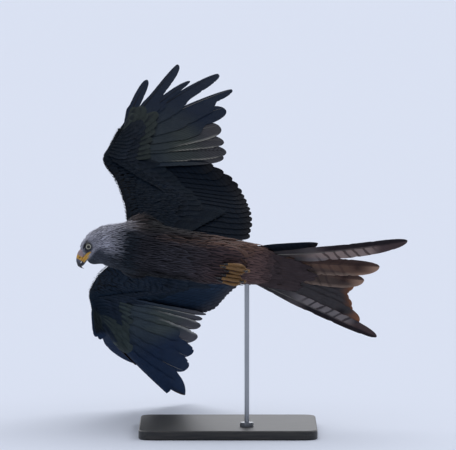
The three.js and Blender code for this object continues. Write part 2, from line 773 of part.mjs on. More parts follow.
function wingSolids(pose, mirrored) {
  const hand = handSheet(pose);
  const arm = armSheet(pose);
  const core = wingCore(pose);
  const armPieces = [
    core,
    ...secondaries(arm),
    ...coverts(arm, 9, 1, 0.44),
    ...coverts(arm, 9, -1, 0.42),
  ];
  const handPieces = [
    core,
    ...primaries(pose, hand),
    ...coverts(hand, 5, 1, 0.36),
    ...coverts(hand, 5, -1, 0.34),
    ...alula(pose, hand),
  ];
  if (pose.outerCovert) handPieces.push(outerCovert(hand, pose.outerCovert));
  const handward = hand.place(0, 200).sub(pose.wrist);
  const armward = arm.place(0, 200).sub(pose.wrist);
  const across = handward.add(armward).cross(hand.normal(0, 120)).normalize();
  const seam = across.dot(pose.wrist);
  const inner = Manifold.union(armPieces).trimByPlane(across.clone().negate().toArray(), -seam + GAP / 2);
  const outer = Manifold.union(handPieces).trimByPlane(across.toArray(), seam + GAP / 2);
  return [inner, outer].map((solid) => largest(mirrored ? solid.mirror([0, 1, 0]) : solid));
}

function wingNodes(grownTorso) {
  const [leftArm, leftHand] = wingSolids(LEFT_WING, false);
  const [rightArm, rightHand] = wingSolids(RIGHT_WING, true);
  return [
    meshOf("wing_left_arm", largest(leftArm.subtract(grownTorso)), COLOURS.arm),
    meshOf("wing_left_hand", leftHand, COLOURS.hand),
    meshOf("wing_right_arm", largest(rightArm.subtract(grownTorso)), COLOURS.arm),
    meshOf("wing_right_hand", rightHand, COLOURS.hand),
  ];
}

// Tail
const TAIL_BACK = point(-1, 0, 0);
const TAIL_LEFT = point(0, Math.cos(TAIL.twist), -Math.sin(TAIL.twist));
const TAIL_NORMAL = TAIL_LEFT.clone().cross(TAIL_BACK).normalize();

function tailDirection(degrees) {
  const angle = radians(degrees);
  return TAIL_BACK.clone().multiplyScalar(Math.cos(angle)).addScaledVector(TAIL_LEFT, Math.sin(angle));
}

// A vane of the tail, from its quill near the rump to a tip on the fan. It lies so far below
// the middle pair.
function tailVane({ degrees, length, drop, side, ...shape }) {
  const START = 0.09;
  const INSET = 1.3;
  const up = TAIL_NORMAL.clone().multiplyScalar(side);
  const level = TAIL.root.clone().addScaledVector(TAIL_NORMAL, -drop);
  const tip = level.clone().addScaledVector(tailDirection(degrees), length);
  const start = level
    .addScaledVector(TAIL_BACK, START * length)
    .addScaledVector(TAIL_LEFT, INSET * degrees);
  return blade(start, tip, up, { steps: FLIGHT_STEPS, ...shape });
}

function tailFeathers() {
  const feathers = [];
  for (const [side, { fan, length, curve }] of [[1, TAIL.left], [-1, TAIL.right]]) {
    fan.forEach((degrees, i) => {
      const drop = TAIL.step * (2 * i + (side < 0 ? 1 : 0));
      const sweep = i === 5 ? curve : 0;
      const lead = i === 5 ? 12.5 : 18 - 1.2 * i;
      const trail = i === 5 ? 17.5 : 24;
      feathers.push(tailVane({ degrees, length: length[i], drop, side, lead, trail, sweep, shaft: 1 }));
    });
  }
  return feathers;
}

// A row of coverts over the quills of the tail (face 1) or under them (face -1).
function tailCoverts(face) {
  const COUNT = 7;
  const REACH = face > 0 ? 118 : 138;
  return Array.from({ length: COUNT }, (_, i) => {
    const offset = i - (COUNT - 1) / 2;
    const level = face > 0 ? -2.2 - 0.9 * (3 - Math.abs(offset)) : 13.2 + 0.9 * Math.abs(offset);
    return tailVane({
      degrees: -2 + 4.6 * offset,
      length: REACH - 4 * Math.abs(offset),
      drop: level - (offset < 0 ? 0.45 : 0) * face,
      side: 1,
      lead: 15,
      trail: 15,
      steps: COVERT_STEPS,
      lift: face * 0.02,
    });
  });
}

function tailNode(cutters) {
  const CORE_END = -172;
  const rings = [];
  const STATIONS = 5;
  for (let i = 0; i <= STATIONS; i++) {
    const x = THREE.MathUtils.lerp(TAIL_FACE + 20, CORE_END, i / STATIONS);
    const wide = 1 - 0.15 * (i / STATIONS) ** 2;
    const thick = 1 - 0.6 * (i / STATIONS) ** 2;
    rings.push(ellipse(point(x, 1, -1), point(0, 41 * wide, -9 * wide), point(0, 3, 17 * thick), 16));
  }
  const growing = tailVane({ degrees: 22.2, length: 166, drop: -1, side: 1, lead: 9, trail: 13 });
  const pieces = [loft(rings), ...tailFeathers(), ...tailCoverts(1), ...tailCoverts(-1), growing];
  const whole = Manifold.union(pieces).trimByPlane([-1, 0, 0], -TAIL_FACE + GAP);
  return meshOf("tail", largest(whole.subtract(cutters)), COLOURS.tail);
}

// Legs and feet: the legs lie back under the vent and the closed toes point forward below them
const TOE_RADII = [3.6, 3.1, 3.4, 2.6, 2.5];
const TOE_SIDES = 6;
const TOE_STEPS = 5;
const ANKLES = { 1: point(-62, -5, -38), "-1": point(-58, -26, -38) };

function footParts(side) {
  const ankle = ANKLES[side];
  const palm = ankle.clone().add(point(-43, 0.5, -8));
  const toe = (...steps) => steps.map(([x, y, z]) => palm.clone().add(point(x, y * side, z)));
  const leg = limb([ankle.clone().add(point(16, 0, 12)), ankle, palm], [6.5, 4.6, 3.8, 4.4], 8, 6);
  return {
    leg,
    palm,
    toes: [
      toe([-2, 4, -1], [4, 7.5, -7], [19, 8, -9], [31, 6.5, -8]),
      toe([-3, 0, -2], [3, 0.3, -9], [20, 0.3, -11], [34, 0.3, -9.5]),
      toe([-2, -4, -1], [3, -6.8, -7], [15, -7.3, -9], [26, -6.5, -8]),
      toe([-3, 0, 0], [-9, 0, -3], [-11, 0, -9], [-7, 0, -13]),
    ],
  };
}

function legNodes(side, word, grownTorso) {
  const { leg, palm, toes } = footParts(side);
  const knuckle = ball(palm, [5.4, 6.6, 4.6], 10, 6);
  const toeSolids = toes.map((path) => limb(path, TOE_RADII, TOE_SIDES, TOE_STEPS));
  const TOE_NAMES = ["outer", "middle", "inner", "hind"];
  const foot = fuse([knuckle, ...toeSolids]);
  const grownKnuckle = ball(palm, [5.4 + GAP, 6.6 + GAP, 4.6 + GAP], 10, 6);
  const grownToes = toes.map((path) => limb(path, TOE_RADII, TOE_SIDES, TOE_STEPS, GAP));
  const footCutter = Manifold.union([grownKnuckle, ...grownToes]);
  const nodes = [
    meshOf("leg_" + word, largest(leg.subtract(grownTorso).subtract(footCutter)), COLOURS.foot, 0.6),
    meshOf("foot_" + word, largest(foot.subtract(grownTorso)), COLOURS.foot, 0.6),
  ];
  toes.forEach((path, i) => {
    const tip = path[3];
    const run = tip.clone().sub(path[2]).normalize();
    const start = tip.clone().addScaledVector(run, GAP);
    const hook = start.clone().addScaledVector(run, 7);
    const end = hook.clone().addScaledVector(run, 4.5).add(point(0.5, 0, 3.2));
    const claw = limb([start, hook, end], [2.3, 1.9, 1.2, 0.4], 5, 4);
    nodes.push(meshOf(`claw_${word}_${TOE_NAMES[i]}`, claw, COLOURS.claw, 0.3));
  });
  return nodes;
}

// Stand
function standBase() {
  const { width, depth, height, corner, bevel } = BASE;
  const [halfX, halfY] = [width / 2 - bevel, depth / 2 - bevel];
  const outline = new THREE.Shape();
  outline.moveTo(halfX - corner, -halfY);
  outline.absarc(halfX - corner, corner - halfY, corner, -Math.PI / 2, 0);
  outline.absarc(halfX - corner, halfY - corner, corner, 0, Math.PI / 2);
  outline.absarc(corner - halfX, halfY - corner, corner, Math.PI / 2, Math.PI);
  outline.absarc(corner - halfX, corner - halfY, corner, Math.PI, 1.5 * Math.PI);
  const geometry = new THREE.ExtrudeGeometry(outline, {
    depth: height - 2 * bevel,
    bevelThickness: bevel,
    bevelSize: bevel,
    bevelSegments: 1,
    curveSegments: 4,
  });
  geometry.translate(0, 0, bevel);
  return solidOf(geometry);
}

function upright(radius, from, to, sides = 16) {
  const geometry = new THREE.CylinderGeometry(radius, radius, to - from, sides);
  geometry.rotateX(Math.PI / 2);
  geometry.translate(ROD.x, ROD.y, (from + to) / 2);
  return solidOf(geometry);
}

function standNodes() {
  const foot = BASE.height - ROD.sink;
  const collar = upright(COLLAR.radius, BASE.height + GAP, BASE.height + COLLAR.height);
  const rod = upright(ROD.radius, foot + GAP, ROD.top);
  const base = standBase().subtract(upright(ROD.radius + GAP, foot, BASE.height + 5));
  return [
    meshOf("stand_base", base, COLOURS.base, 0.5),
    meshOf("stand_rod", largest(rod.add(collar)), COLOURS.rod, 0.3, 0.9),
  ];
}

// The bank: the bird flies to the viewer's left with its back turned away from the viewer.
function bankMatrix() {
  const right = point(1, 0, 0);
  const up = point(0, Math.sin(VIEW_TILT), Math.cos(VIEW_TILT));
  const away = point(0, Math.cos(VIEW_TILT), -Math.sin(VIEW_TILT));
  const mix = (a, p, b, q) => a.clone().multiplyScalar(p).addScaledVector(b, q);
  const level = mix(right, -Math.cos(YAW), up, Math.sin(YAW));
  const flatLeft = mix(right, Math.sin(YAW), up, Math.cos(YAW));
  const forward = mix(level, Math.cos(PITCH), away, -Math.sin(PITCH));
  const flatDorsal = mix(away, Math.cos(PITCH), level, Math.sin(PITCH));
  const dorsal = mix(flatDorsal, Math.cos(ROLL), flatLeft, Math.sin(ROLL));
  const left = mix(flatLeft, Math.cos(ROLL), flatDorsal, -Math.sin(ROLL));
  return new THREE.Matrix4().makeBasis(forward, left, dorsal).setPosition(BIRD_CENTRE);
}

function birdGroup() {
  const bank = bankMatrix();
  const group = new THREE.Group();
  bank.decompose(group.position, group.quaternion, group.scale);
  const toBird = bank.clone().invert().elements;
  const socket = upright(ROD.radius + GAP, 0, ROD.top + 1).transform(toBird);
  const grownTorso = torsoSolid(GAP);
  const torso = largest(torsoSolid().subtract(socket));
  group.add(
    meshOf("torso", torso, COLOURS.torso),
    meshOf("neck", neckSolid(), COLOURS.neck),
    ...headNodes(),
    ...wingNodes(grownTorso),
    tailNode(grownTorso.add(socket)),
    ...legNodes(1, "left", grownTorso),
    ...legNodes(-1, "right", grownTorso),
  );
  return group;
}

const kite = new THREE.Group();
kite.add(birdGroup(), ...standNodes());

export default kite;
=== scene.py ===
# %% [markdown]
# # A red kite in banked flight
# A red kite is a large, slim bird of prey with long fingered wings and a forked tail.
# This life-size model banks away from the viewer, so that its underside shows, and a plain
# display stand holds it up. Flesh, flight feathers and stand are already solid in the
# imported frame. The cells below put skin, plumage, horn and glassy eyes in their place.

# %% Open the frame
import json
import math
from functools import partial

import bpy
import numpy as np
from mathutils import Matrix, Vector
from mathutils.kdtree import KDTree

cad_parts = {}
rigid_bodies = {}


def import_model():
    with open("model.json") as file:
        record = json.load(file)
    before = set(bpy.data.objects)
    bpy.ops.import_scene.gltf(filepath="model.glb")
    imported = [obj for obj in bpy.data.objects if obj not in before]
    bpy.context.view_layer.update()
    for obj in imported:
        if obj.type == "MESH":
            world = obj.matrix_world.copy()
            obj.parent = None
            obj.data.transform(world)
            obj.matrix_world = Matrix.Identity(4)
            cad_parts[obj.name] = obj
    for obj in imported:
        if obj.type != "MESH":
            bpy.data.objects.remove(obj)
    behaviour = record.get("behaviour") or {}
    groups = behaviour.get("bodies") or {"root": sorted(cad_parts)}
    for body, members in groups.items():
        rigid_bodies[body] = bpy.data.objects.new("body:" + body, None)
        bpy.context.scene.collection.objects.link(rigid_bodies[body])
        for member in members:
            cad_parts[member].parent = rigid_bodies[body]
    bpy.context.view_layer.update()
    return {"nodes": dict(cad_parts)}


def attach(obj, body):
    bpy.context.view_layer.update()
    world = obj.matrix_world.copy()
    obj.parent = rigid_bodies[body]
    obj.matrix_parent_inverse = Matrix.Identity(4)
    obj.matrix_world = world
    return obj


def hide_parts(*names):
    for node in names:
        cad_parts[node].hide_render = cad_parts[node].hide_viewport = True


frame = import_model()
dice = np.random.default_rng(11)
print("nodes in the frame:", len(frame["nodes"]))

# %% [markdown]
# ## The camera
# The photo looks slightly up at a bird in the sky. Here the bird itself leans back by the
# same angle, so the camera stands a little above the floor and looks down by 4 degrees. It
# stands far away with a long lens, as a bird watcher's does, which keeps the wings in
# proportion. One pixel of the photo is 1.9 mm on the bird.

# %% Camera
VIEW_TILT = math.radians(4)
VIEW_DISTANCE = 10.0
AIM = Vector((0.0, -0.090, 0.405))
PHOTO_WIDTH = 456 * 0.0019
SENSOR = 36.0


def put_in_scene(name, data):
    made = bpy.data.objects.new(name, data)
    bpy.context.scene.collection.objects.link(made)
    return made


view_along = Vector((0.0, math.cos(VIEW_TILT), -math.sin(VIEW_TILT)))
lens = bpy.data.cameras.new("watcher")
lens.sensor_width = SENSOR
lens.lens = SENSOR * VIEW_DISTANCE / PHOTO_WIDTH
lens.clip_end = 300.0
camera = put_in_scene("watcher", lens)
camera.location = AIM - view_along * VIEW_DISTANCE
camera.rotation_euler = view_along.to_track_quat("-Z", "Y").to_euler()
bpy.context.scene.camera = camera
print(f"lens {lens.lens:.0f} mm at {VIEW_DISTANCE:.0f} m")

# %% [markdown]
# ## Colours and nodes
# Colours are written as they look on a screen, in sRGB hex. Light adds up in linear values,
# so one function turns hex into linear. A second small function adds a shader node with its
# settings, and takes either plain values or other nodes' outputs for its sockets. A pattern's
# scale is how many of its parts fit into a metre, so it follows from their size.


# %% Colour and node helpers
def linear(hex_colour):
    srgb = np.array([int(hex_colour[i : i + 2], 16) for i in (1, 3, 5)]) / 255
    return np.where(srgb <= 0.04045, srgb / 12.92, ((srgb + 0.055) / 1.055) ** 2.4)


def rgba(hex_colour):
    return (*linear(hex_colour), 1.0)


def add_node(tree, kind, sockets=None, output=0, **settings):
    """Adds a shader node and returns one of its output sockets."""
    made = tree.nodes.new("ShaderNode" + kind)
    for name, value in settings.items():
        setattr(made, name, value)
    for name, value in (sockets or {}).items():
        socket = made.inputs[name]
        if isinstance(value, bpy.types.NodeSocket):
            tree.links.new(value, socket)
        else:
            socket.default_value = value
    return made.outputs[output] if made.outputs else None


def set_stops(ramp, stops, low=0.0, high=1.0):
    """Gives a colour ramp its stops, which are pairs of a place and a colour."""
    elements = ramp.node.color_ramp.elements
    while len(elements) < len(stops):
        elements.new(0.9)
    for element, (place, colour) in zip(elements, stops):
        element.position = (place - low) / (high - low)
        element.color = rgba(colour)


def new_material(name, draw):
    """draw takes a function that adds nodes, and returns the shader to show."""
    made = bpy.data.materials.new(name)
    made.use_nodes = True
    made.node_tree.nodes.clear()
    node = partial(add_node, made.node_tree)
    node("OutputMaterial", {"Surface": draw(node)})
    return made


def per_metre(size_mm):
    """The scale of a pattern whose parts are this large."""
    return 1000.0 / size_mm


print("middle grey, #808080, in linear light:", linear("#808080").round(3))

# %% [markdown]
# ## Studio floor and light
# The sky behind the bird is even and pale. In the studio a wide, matt, pale blue-white
# floor fills the whole picture behind it. One soft light stands high behind the bird, as
# the bright sky does in the photo: it rims the crown and shines through the tail, and the
# floor throws enough of it back for the dark underside to keep its detail.

# %% Floor and lights
FLOOR_HALF = 90.0


def matt_paint(node):
    dull = {"Roughness": 1.0, "Specular IOR Level": 0.0}
    return node("BsdfPrincipled", {"Base Color": rgba("#dde2ec"), **dull})


def make_floor():
    mesh = bpy.data.meshes.new("floor")
    corners = [(x * FLOOR_HALF, y * FLOOR_HALF, 0.0) for x, y in ((-1, -1), (1, -1), (1, 1), (-1, 1))]
    mesh.from_pydata(corners, [], [(0, 1, 2, 3)])
    mesh.materials.append(new_material("matt_pale_paint", matt_paint))
    put_in_scene("floor", mesh)


def add_sun(name, azimuth, elevation, strength, softness, colour):
    light = bpy.data.lights.new(name, "SUN")
    light.energy = strength
    light.angle = math.radians(softness)
    light.color = linear(colour)
    turn, height = math.radians(azimuth), math.radians(elevation)
    toward = Vector((math.sin(turn), -math.cos(turn), math.tan(height)))
    put_in_scene(name, light).rotation_euler = toward.to_track_quat("Z", "Y").to_euler()


make_floor()
add_sun("high_back_light", azimuth=178, elevation=60, strength=2.9, softness=110, colour="#fbfcff")
add_sun("front_fill", azimuth=-30, elevation=35, strength=0.22, softness=110, colour="#eef3ff")
studio = bpy.data.worlds.new("studio")
studio.use_nodes = True
studio.node_tree.nodes.clear()
dim_room = add_node(studio.node_tree, "Background", {"Color": rgba("#dfe8ff"), "Strength": 0.22})
add_node(studio.node_tree, "OutputWorld", {"Surface": dim_room})
bpy.context.scene.world = studio
bpy.context.scene.view_settings.view_transform = "Standard"
print("lights:", [light.name for light in bpy.data.lights])

# %% [markdown]
# ## The bird's own frame
# The bird is easiest to describe along its own axes: x forward, y to its left and z out of
# its back, in millimetres. These are the same numbers that its solids were made from. One
# function banks a list of such points and turns them into metres of the shared frame.

# %% Bird's frame
MM = 0.001
BIRD_CENTRE = np.array([-82.0, -94.0, 348.0])
YAW, PITCH, ROLL = (math.radians(angle) for angle in (9, 12, 7))


def bank_axes():
    right = np.array([1.0, 0.0, 0.0])
    up = np.array([0.0, math.sin(VIEW_TILT), math.cos(VIEW_TILT)])
    away = np.array(view_along)
    level = -math.cos(YAW) * right + math.sin(YAW) * up
    flat_left = math.sin(YAW) * right + math.cos(YAW) * up
    forward = math.cos(PITCH) * level - math.sin(PITCH) * away
    flat_dorsal = math.cos(PITCH) * away + math.sin(PITCH) * level
    dorsal = math.cos(ROLL) * flat_dorsal + math.sin(ROLL) * flat_left
    left = math.cos(ROLL) * flat_left - math.sin(ROLL) * flat_dorsal
    return np.array([forward, left, dorsal])


BANK = bank_axes()


def to_row(points):
    return (BIRD_CENTRE + points @ BANK) * MM


print("the bird's forward, left and back directions:", BANK.round(3).tolist())


# %% [markdown]
# ## Small tools for arrays of points
# A coat has thousands of feathers, so nothing below is placed one point at a time. These
# helpers work on whole arrays: unit vectors, soft steps, and a Catmull-Rom curve, which
# passes through each of its knots and runs on straight past its ends.


# %% Array helpers
def unit(vectors):
    return vectors / np.maximum(np.linalg.norm(vectors, axis=-1, keepdims=True), 1e-9)


def together(*parts):
    """Arrays and numbers, side by side along a new last axis."""
    return np.stack(np.broadcast_arrays(*parts), axis=-1)


def mirrored(points):
    return points * (1, -1, 1)


def soft_step(value, low, high):
    share = np.clip((value - low) / (high - low), 0, 1)
    return share * share * (3 - 2 * share)


def blend(first, second, share):
    return first + (second - first) * np.asarray(share)[..., None]


def along(values, t):
    return np.interp(np.clip(t, 0, 1) * (len(values) - 1), np.arange(len(values)), values)


def curve(knots, t, power=0.25):
    knots = np.asarray(knots, float)
    t = np.asarray(t, float)
    if knots.ndim == 1:
        return curve(knots[:, None], t, 0)[..., 0]
    last = len(knots) - 1
    inside = np.clip(t, 0, 1)
    segment = np.minimum((inside * last).astype(int), last - 1)
    share = (inside * last - segment)[..., None]
    ends = np.concatenate([2 * knots[:1] - knots[1:2], knots, 2 * knots[-1:] - knots[-2:-1]])
    p0, p1, p2, p3 = (ends[segment + i] for i in range(4))
    d0, d1, d2 = (
        np.maximum(((b - a) ** 2).sum(-1, keepdims=True), 1e-12) ** power
        for a, b in ((p0, p1), (p1, p2), (p2, p3))
    )
    slope_in = ((p1 - p0) / d0 - (p2 - p0) / (d0 + d1) + (p2 - p1) / d1) * d1
    slope_out = ((p2 - p1) / d1 - (p3 - p1) / (d1 + d2) + (p3 - p2) / d2) * d1
    bend = 3 * (p2 - p1) - 2 * slope_in - slope_out
    twist = 2 * (p1 - p2) + slope_in + slope_out
    place = p1 + share * (slope_in + share * (bend + share * twist))
    past = (t - inside)[..., None] * last
    return place + past * np.where(past > 0, slope_out, slope_in)


print("a quarter along a curve through 0, 1 and 0:", round(float(curve([0, 1, 0], 0.25)), 3))

# %% [markdown]
# ## Making a piece
# Most pieces here are grids: rows of points along a feather, a limb or a bill. One function
# numbers the faces of many grids at once, and one makes the mesh object, gives it the values
# that its material reads at each point, and lets it ride on the frame's only body.


# %% Mesh helpers
def grid_faces(count, rows, columns, closed=False):
    row = np.arange(rows - 1)[:, None] * columns
    column = np.arange(columns if closed else columns - 1)
    beside = (column + 1) % columns
    quads = together(row + column, row + beside, row + columns + beside, row + columns + column)
    quads = quads.reshape(-1, 4)
    return (np.arange(count)[:, None, None] * rows * columns + quads).reshape(-1, 4)


KINDS = {1: ("FLOAT", "value"), 3: ("FLOAT_VECTOR", "vector"), 4: ("FLOAT_COLOR", "color")}


def new_piece(name, points, faces, material, slot, values=None, bake=None, replaces=()):
    mesh = bpy.data.meshes.new(name)
    mesh.vertices.add(len(points))
    mesh.vertices.foreach_set("co", to_row(points).astype(np.float32).ravel())
    mesh.loops.add(faces.size)
    mesh.loops.foreach_set("vertex_index", faces.astype(np.int32).ravel())
    mesh.polygons.add(len(faces))
    mesh.polygons.foreach_set("loop_start", np.arange(0, faces.size, faces.shape[1], dtype=np.int32))
    mesh.polygons.foreach_set("use_smooth", np.ones(len(faces), bool))
    mesh.update(calc_edges=True)
    for key, data in (values or {}).items():
        kind, field = KINDS[1 if data.ndim == 1 else data.shape[-1]]
        layer = mesh.attributes.new(key, kind, "POINT")
        layer.data.foreach_set(field, data.astype(np.float32).ravel())
    if bake is not None:
        layer = mesh.uv_layers.new(name="OFBake")
        layer.data.foreach_set("uv", bake[faces.ravel()].astype(np.float32).ravel())
    mesh.materials.append(material)
    piece = put_in_scene(name, mesh)
    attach(piece, "root")
    if replaces:
        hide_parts(*replaces)
    print(f"{name}: {len(faces) * (faces.shape[1] - 2)} triangles")
    return piece


def grid_piece(name, grids, *more, **named):
    """A piece made of grids of points, (count, rows, columns, 3)."""
    count, rows, columns, _ = grids.shape
    return new_piece(name, grids.reshape(-1, 3), grid_faces(count, rows, columns), *more, **named)


def ring_grid(centres, half_a, half_b, sides):
    angle = np.arange(sides) * 2 * math.pi / sides
    ahead = half_a[:, None] * np.cos(angle)[None, :, None]
    return centres[:, None] + ahead + half_b[:, None] * np.sin(angle)[None, :, None]


def seamed(rings):
    """Rings whose first point comes again at the end, which closes them as a grid."""
    return np.concatenate([rings, rings[:, :1]], axis=1)


# %% [markdown]
# ## What feathers are made of
# A feather is keratin: a stiff shaft, the rachis, with hundreds of barbs on each side that
# hook together into a flat web. Keratin is slightly glossy (IOR 1.54) but the barbs break
# its gloss up, so it looks satin, and thin webs let light through. The web's colours come
# with each point: a ground colour, a mark colour, and how strongly the mark shows as bars
# across the web or as a streak along the shaft. Real barbs are about 0.5 mm apart, too fine
# to show here, so their lines are drawn about 2 mm apart on the flight feathers.


# %% Feather material
# The vane is lighter and darker in clouds about 18 mm wide.
CLOUD = 18.18


def feather_material(name, barb_pitch, gloss, glow):
    def draw(node):
        vane = node("Attribute", output="Vector", attribute_name="vane")
        across, down, bars = node("SeparateXYZ", {0: vane}).node.outputs
        pattern = node("Attribute", output="Vector", attribute_name="pattern")
        strength, streak, reach = node("SeparateXYZ", {0: pattern}).node.outputs
        place = node("TexCoord", output="Object")
        cloud = node("TexNoise", {"Vector": place, "Scale": per_metre(CLOUD), "Detail": 3.0}, "Fac")
        # A dark bar shows where a zigzag along the feather, bent a little by the cloud, peaks.
        wobble = node("Math", {0: cloud, 1: 0.5, 2: bars}, operation="MULTIPLY_ADD")
        zigzag = node("Math", {0: wobble, 1: 0.5}, operation="PINGPONG")
        peak = {"Value": zigzag, "From Min": 0.31, "From Max": 0.42}
        bar = node("MapRange", peak, interpolation_type="SMOOTHSTEP")
        bar = node("Math", {0: bar, 1: strength}, operation="MULTIPLY")
        # The streak is an oval round the shaft.
        side = node("Math", {0: across}, operation="ABSOLUTE")
        side = node("Math", {0: side, 1: streak}, operation="DIVIDE")
        side = node("Math", {0: side, 1: 2.0}, operation="POWER")
        onward = node("Math", {0: down, 1: reach}, operation="DIVIDE")
        onward = node("Math", {0: onward, 1: 4.0}, operation="POWER")
        oval = node("Math", {0: side, 1: onward}, operation="ADD")
        fade = {"Value": oval, "From Min": 0.6, "From Max": 1.4, "To Min": 1.0, "To Max": 0.0}
        centre = node("MapRange", fade, interpolation_type="SMOOTHSTEP")
        marked = node("Math", {0: bar, 1: centre}, operation="MAXIMUM")
        ground = node("Attribute", output="Color", attribute_name="ground")
        mark = node("Attribute", output="Color", attribute_name="mark")
        # The mix node also has sockets for plain numbers, so its colour sockets go by number.
        painted = node("Mix", {0: marked, 6: ground, 7: mark}, 2, data_type="RGBA")
        barb = node("Attribute", output="Fac", attribute_name="barb")
        barbs = node("Math", {0: barb, 1: 2 * math.pi / barb_pitch}, operation="MULTIPLY")
        barbs = node("Math", {0: barbs}, operation="SINE")
        fleck = node("Math", {0: cloud, 1: 0.5, 2: 0.75}, operation="MULTIPLY_ADD")
        shade = node("Math", {0: barbs, 1: 0.07, 2: fleck}, operation="MULTIPLY_ADD")
        colour = node("VectorMath", {0: painted, "Scale": shade}, operation="SCALE")
        relief = node("Bump", {"Height": barbs, "Strength": 0.5, "Distance": 0.0003})
        finish = {"Base Color": colour, "Roughness": 0.55, "IOR": 1.54, "Specular IOR Level": gloss}
        keratin = node("BsdfPrincipled", {**finish, "Normal": relief})
        if glow == 0:
            return keratin
        lit = node("Gamma", {"Color": colour, "Gamma": 0.5})
        behind = node("BsdfTranslucent", {"Color": lit, "Normal": relief})
        return node("MixShader", {0: glow, 1: keratin, 2: behind})

    return new_material(name, draw)


FLIGHT_WEB = feather_material("keratin_flight_web", barb_pitch=2.2, gloss=0.015, glow=0.055)
TAIL_WEB = feather_material("keratin_tail_web", barb_pitch=2.2, gloss=0.08, glow=0.38)
COVERT_WEB = feather_material("keratin_covert_web", barb_pitch=1.6, gloss=0.015, glow=0.0)
SOFT_WEB = feather_material("keratin_soft_web", barb_pitch=1.3, gloss=0.05, glow=0.0)
print("kinds of feather web:", len((FLIGHT_WEB, TAIL_WEB, COVERT_WEB, SOFT_WEB)))

# %% [markdown]
# ## Gathering feathers
# Feathers are collected as grids and made into one mesh for each part of the plumage. A
# map named OFBake goes with them: there each small feather is a tiny patch at its root's
# place on the unrolled skin, and each flight feather has a strip of its own.

# %% Feather gatherer
TUFT_PATCH = 0.003


class Plumage:
    def __init__(self, name, material, slot, tone=1.0, mirror=False):
        self.name, self.material, self.slot = name, material, slot
        self.tone, self.mirror, self.parts = tone, mirror, []

    def add(self, points, vane, barb, paint, bake):
        """Grids of points, (feathers, rows, columns, 3), and what the material reads there."""
        shape = points.shape[:3]
        ground, mark, pattern = paint
        # tone scales the colours; on the wings it is painted light, darker on the left wing and brighter on
        # the right.
        read = {"vane": vane, "ground": ground * self.tone, "mark": mark * self.tone, "pattern": pattern}
        part = {key: np.broadcast_to(data, (*shape, 3)) for key, data in read.items()}
        part["points"] = mirrored(points) if self.mirror else points
        part["barb"] = np.broadcast_to(barb, shape)
        part["bake"] = np.broadcast_to(bake, (*shape, 2))
        self.parts.append(part)

    def make(self, replaces=()):
        faces, start = [], 0
        for part in self.parts:
            count, rows, columns, _ = part["points"].shape
            faces.append(grid_faces(count, rows, columns) + start)
            start += count * rows * columns
        flat = {}
        for key in self.parts[0]:
            flat[key] = np.concatenate([part[key].reshape(-1, *part[key].shape[3:]) for part in self.parts])
        for key in ("ground", "mark"):
            flat[key] = np.hstack([flat[key], np.ones((start, 1))])
        points, bake = flat.pop("points"), flat.pop("bake")
        faces = np.concatenate(faces)
        return new_piece(self.name, points, faces, self.material, self.slot, flat, bake, replaces)


print("a small feather is a patch of", TUFT_PATCH, "on the baking map")

# %% [markdown]
# ## The flesh
# Under its feathers a bird is a set of rounded masses that run into one another: breast,
# belly, rump, thighs, neck and skull. The same masses shape the solids. Written as one
# field, which is 0 on the outside of the plumage and grows by about 1 for each millimetre
# outwards, they can carry both the skin below and the tips of the feathers above it.

# %% Head's frame and masses
TAIL_TWIST = math.radians(15)
TAIL_BACK = np.array([-1.0, 0.0, 0.0])
TAIL_LEFT = np.array([0.0, math.cos(TAIL_TWIST), -math.sin(TAIL_TWIST)])
TAIL_NORMAL = np.cross(TAIL_LEFT, TAIL_BACK)
TAIL_AXES = np.array([TAIL_BACK, TAIL_LEFT, TAIL_NORMAL])
EYE_MIDDLE = np.array([189.0, -9.5, 0.0])
EYE_SPREAD = 12.6
EYEBALL = 7.2
HEAD = np.array([[0.301, -0.954, 0.0], [0.0, 0.0, -1.0], [0.954, 0.301, 0.0]])


def on_head(forward, left, up):
    return EYE_MIDDLE + together(forward, left, up) @ HEAD


def head_direction(forward, left, up):
    return np.array([forward, left, up], float) @ HEAD


def mass(centre, radii, blend_width, axes=np.eye(3)):
    return np.array(centre, float), np.array(radii, float), blend_width, axes


def head_mass(place, radii, blend_width):
    return mass(on_head(*place), radii, blend_width, HEAD)


MASSES = [
    mass((58, 0, -4), (88, 50, 47), 0),
    mass((-25, 0, -4), (100, 48, 41), 20),
    mass((-100, 2, 0), (82, 43.5, 25), 20),
    mass((118, -1, -2), (46, 45, 38), 20),
    *(mass((84, 38 * side, 24), (36, 24, 26), 14) for side in (1, -1)),
    *(mass((-62, 22 * side, -30), (40, 18, 16), 14) for side in (1, -1)),
    mass((152, -5, 0), (36, 38, 30), 18),
    head_mass((-21, 0, -23), (23, 23, 21), 10),
    head_mass((-9.5, 0, -4.6), (21.5, 21, 14.2), 8),
    head_mass((6, 0, -2.8), (18, 12.5, 12.6), 8),
    head_mass((4, 0, -21.6), (25.5, 18.5, 17.2), 12),
    *(head_mass((2, 13.5 * side, 6.3), (12, 5.2, 3), 4) for side in (1, -1)),
    mass((-160, 1, 1), (85, 36, 9.5), 16, TAIL_AXES),
]


def flesh(points):
    depth = np.full(points.shape[:-1], np.inf)
    for centre, radii, blend_width, axes in MASSES:
        scaled = (points - centre) @ axes.T / radii
        size = np.linalg.norm(scaled, axis=-1)
        steep = np.maximum(np.linalg.norm(scaled / radii, axis=-1), 1e-9)
        other = size * (size - 1) / steep
        if blend_width:
            share = np.maximum(blend_width - np.abs(depth - other), 0)
            depth = np.minimum(depth, other) - share * share / (4 * blend_width)
        else:
            depth = other
    return depth


def flesh_normal(points):
    small = 0.5
    here = flesh(points)
    slopes = [flesh(points + small * axis) - here for axis in np.eye(3)]
    return unit(np.stack(slopes, axis=-1))


def settle(points, outward, level, rounds=3):
    """Moves points along their outward direction until the field there is level."""
    for _ in range(rounds):
        points = points + outward * np.clip(level - flesh(points), -3, 3)[..., None]
    return points


print("masses of flesh:", len(MASSES))

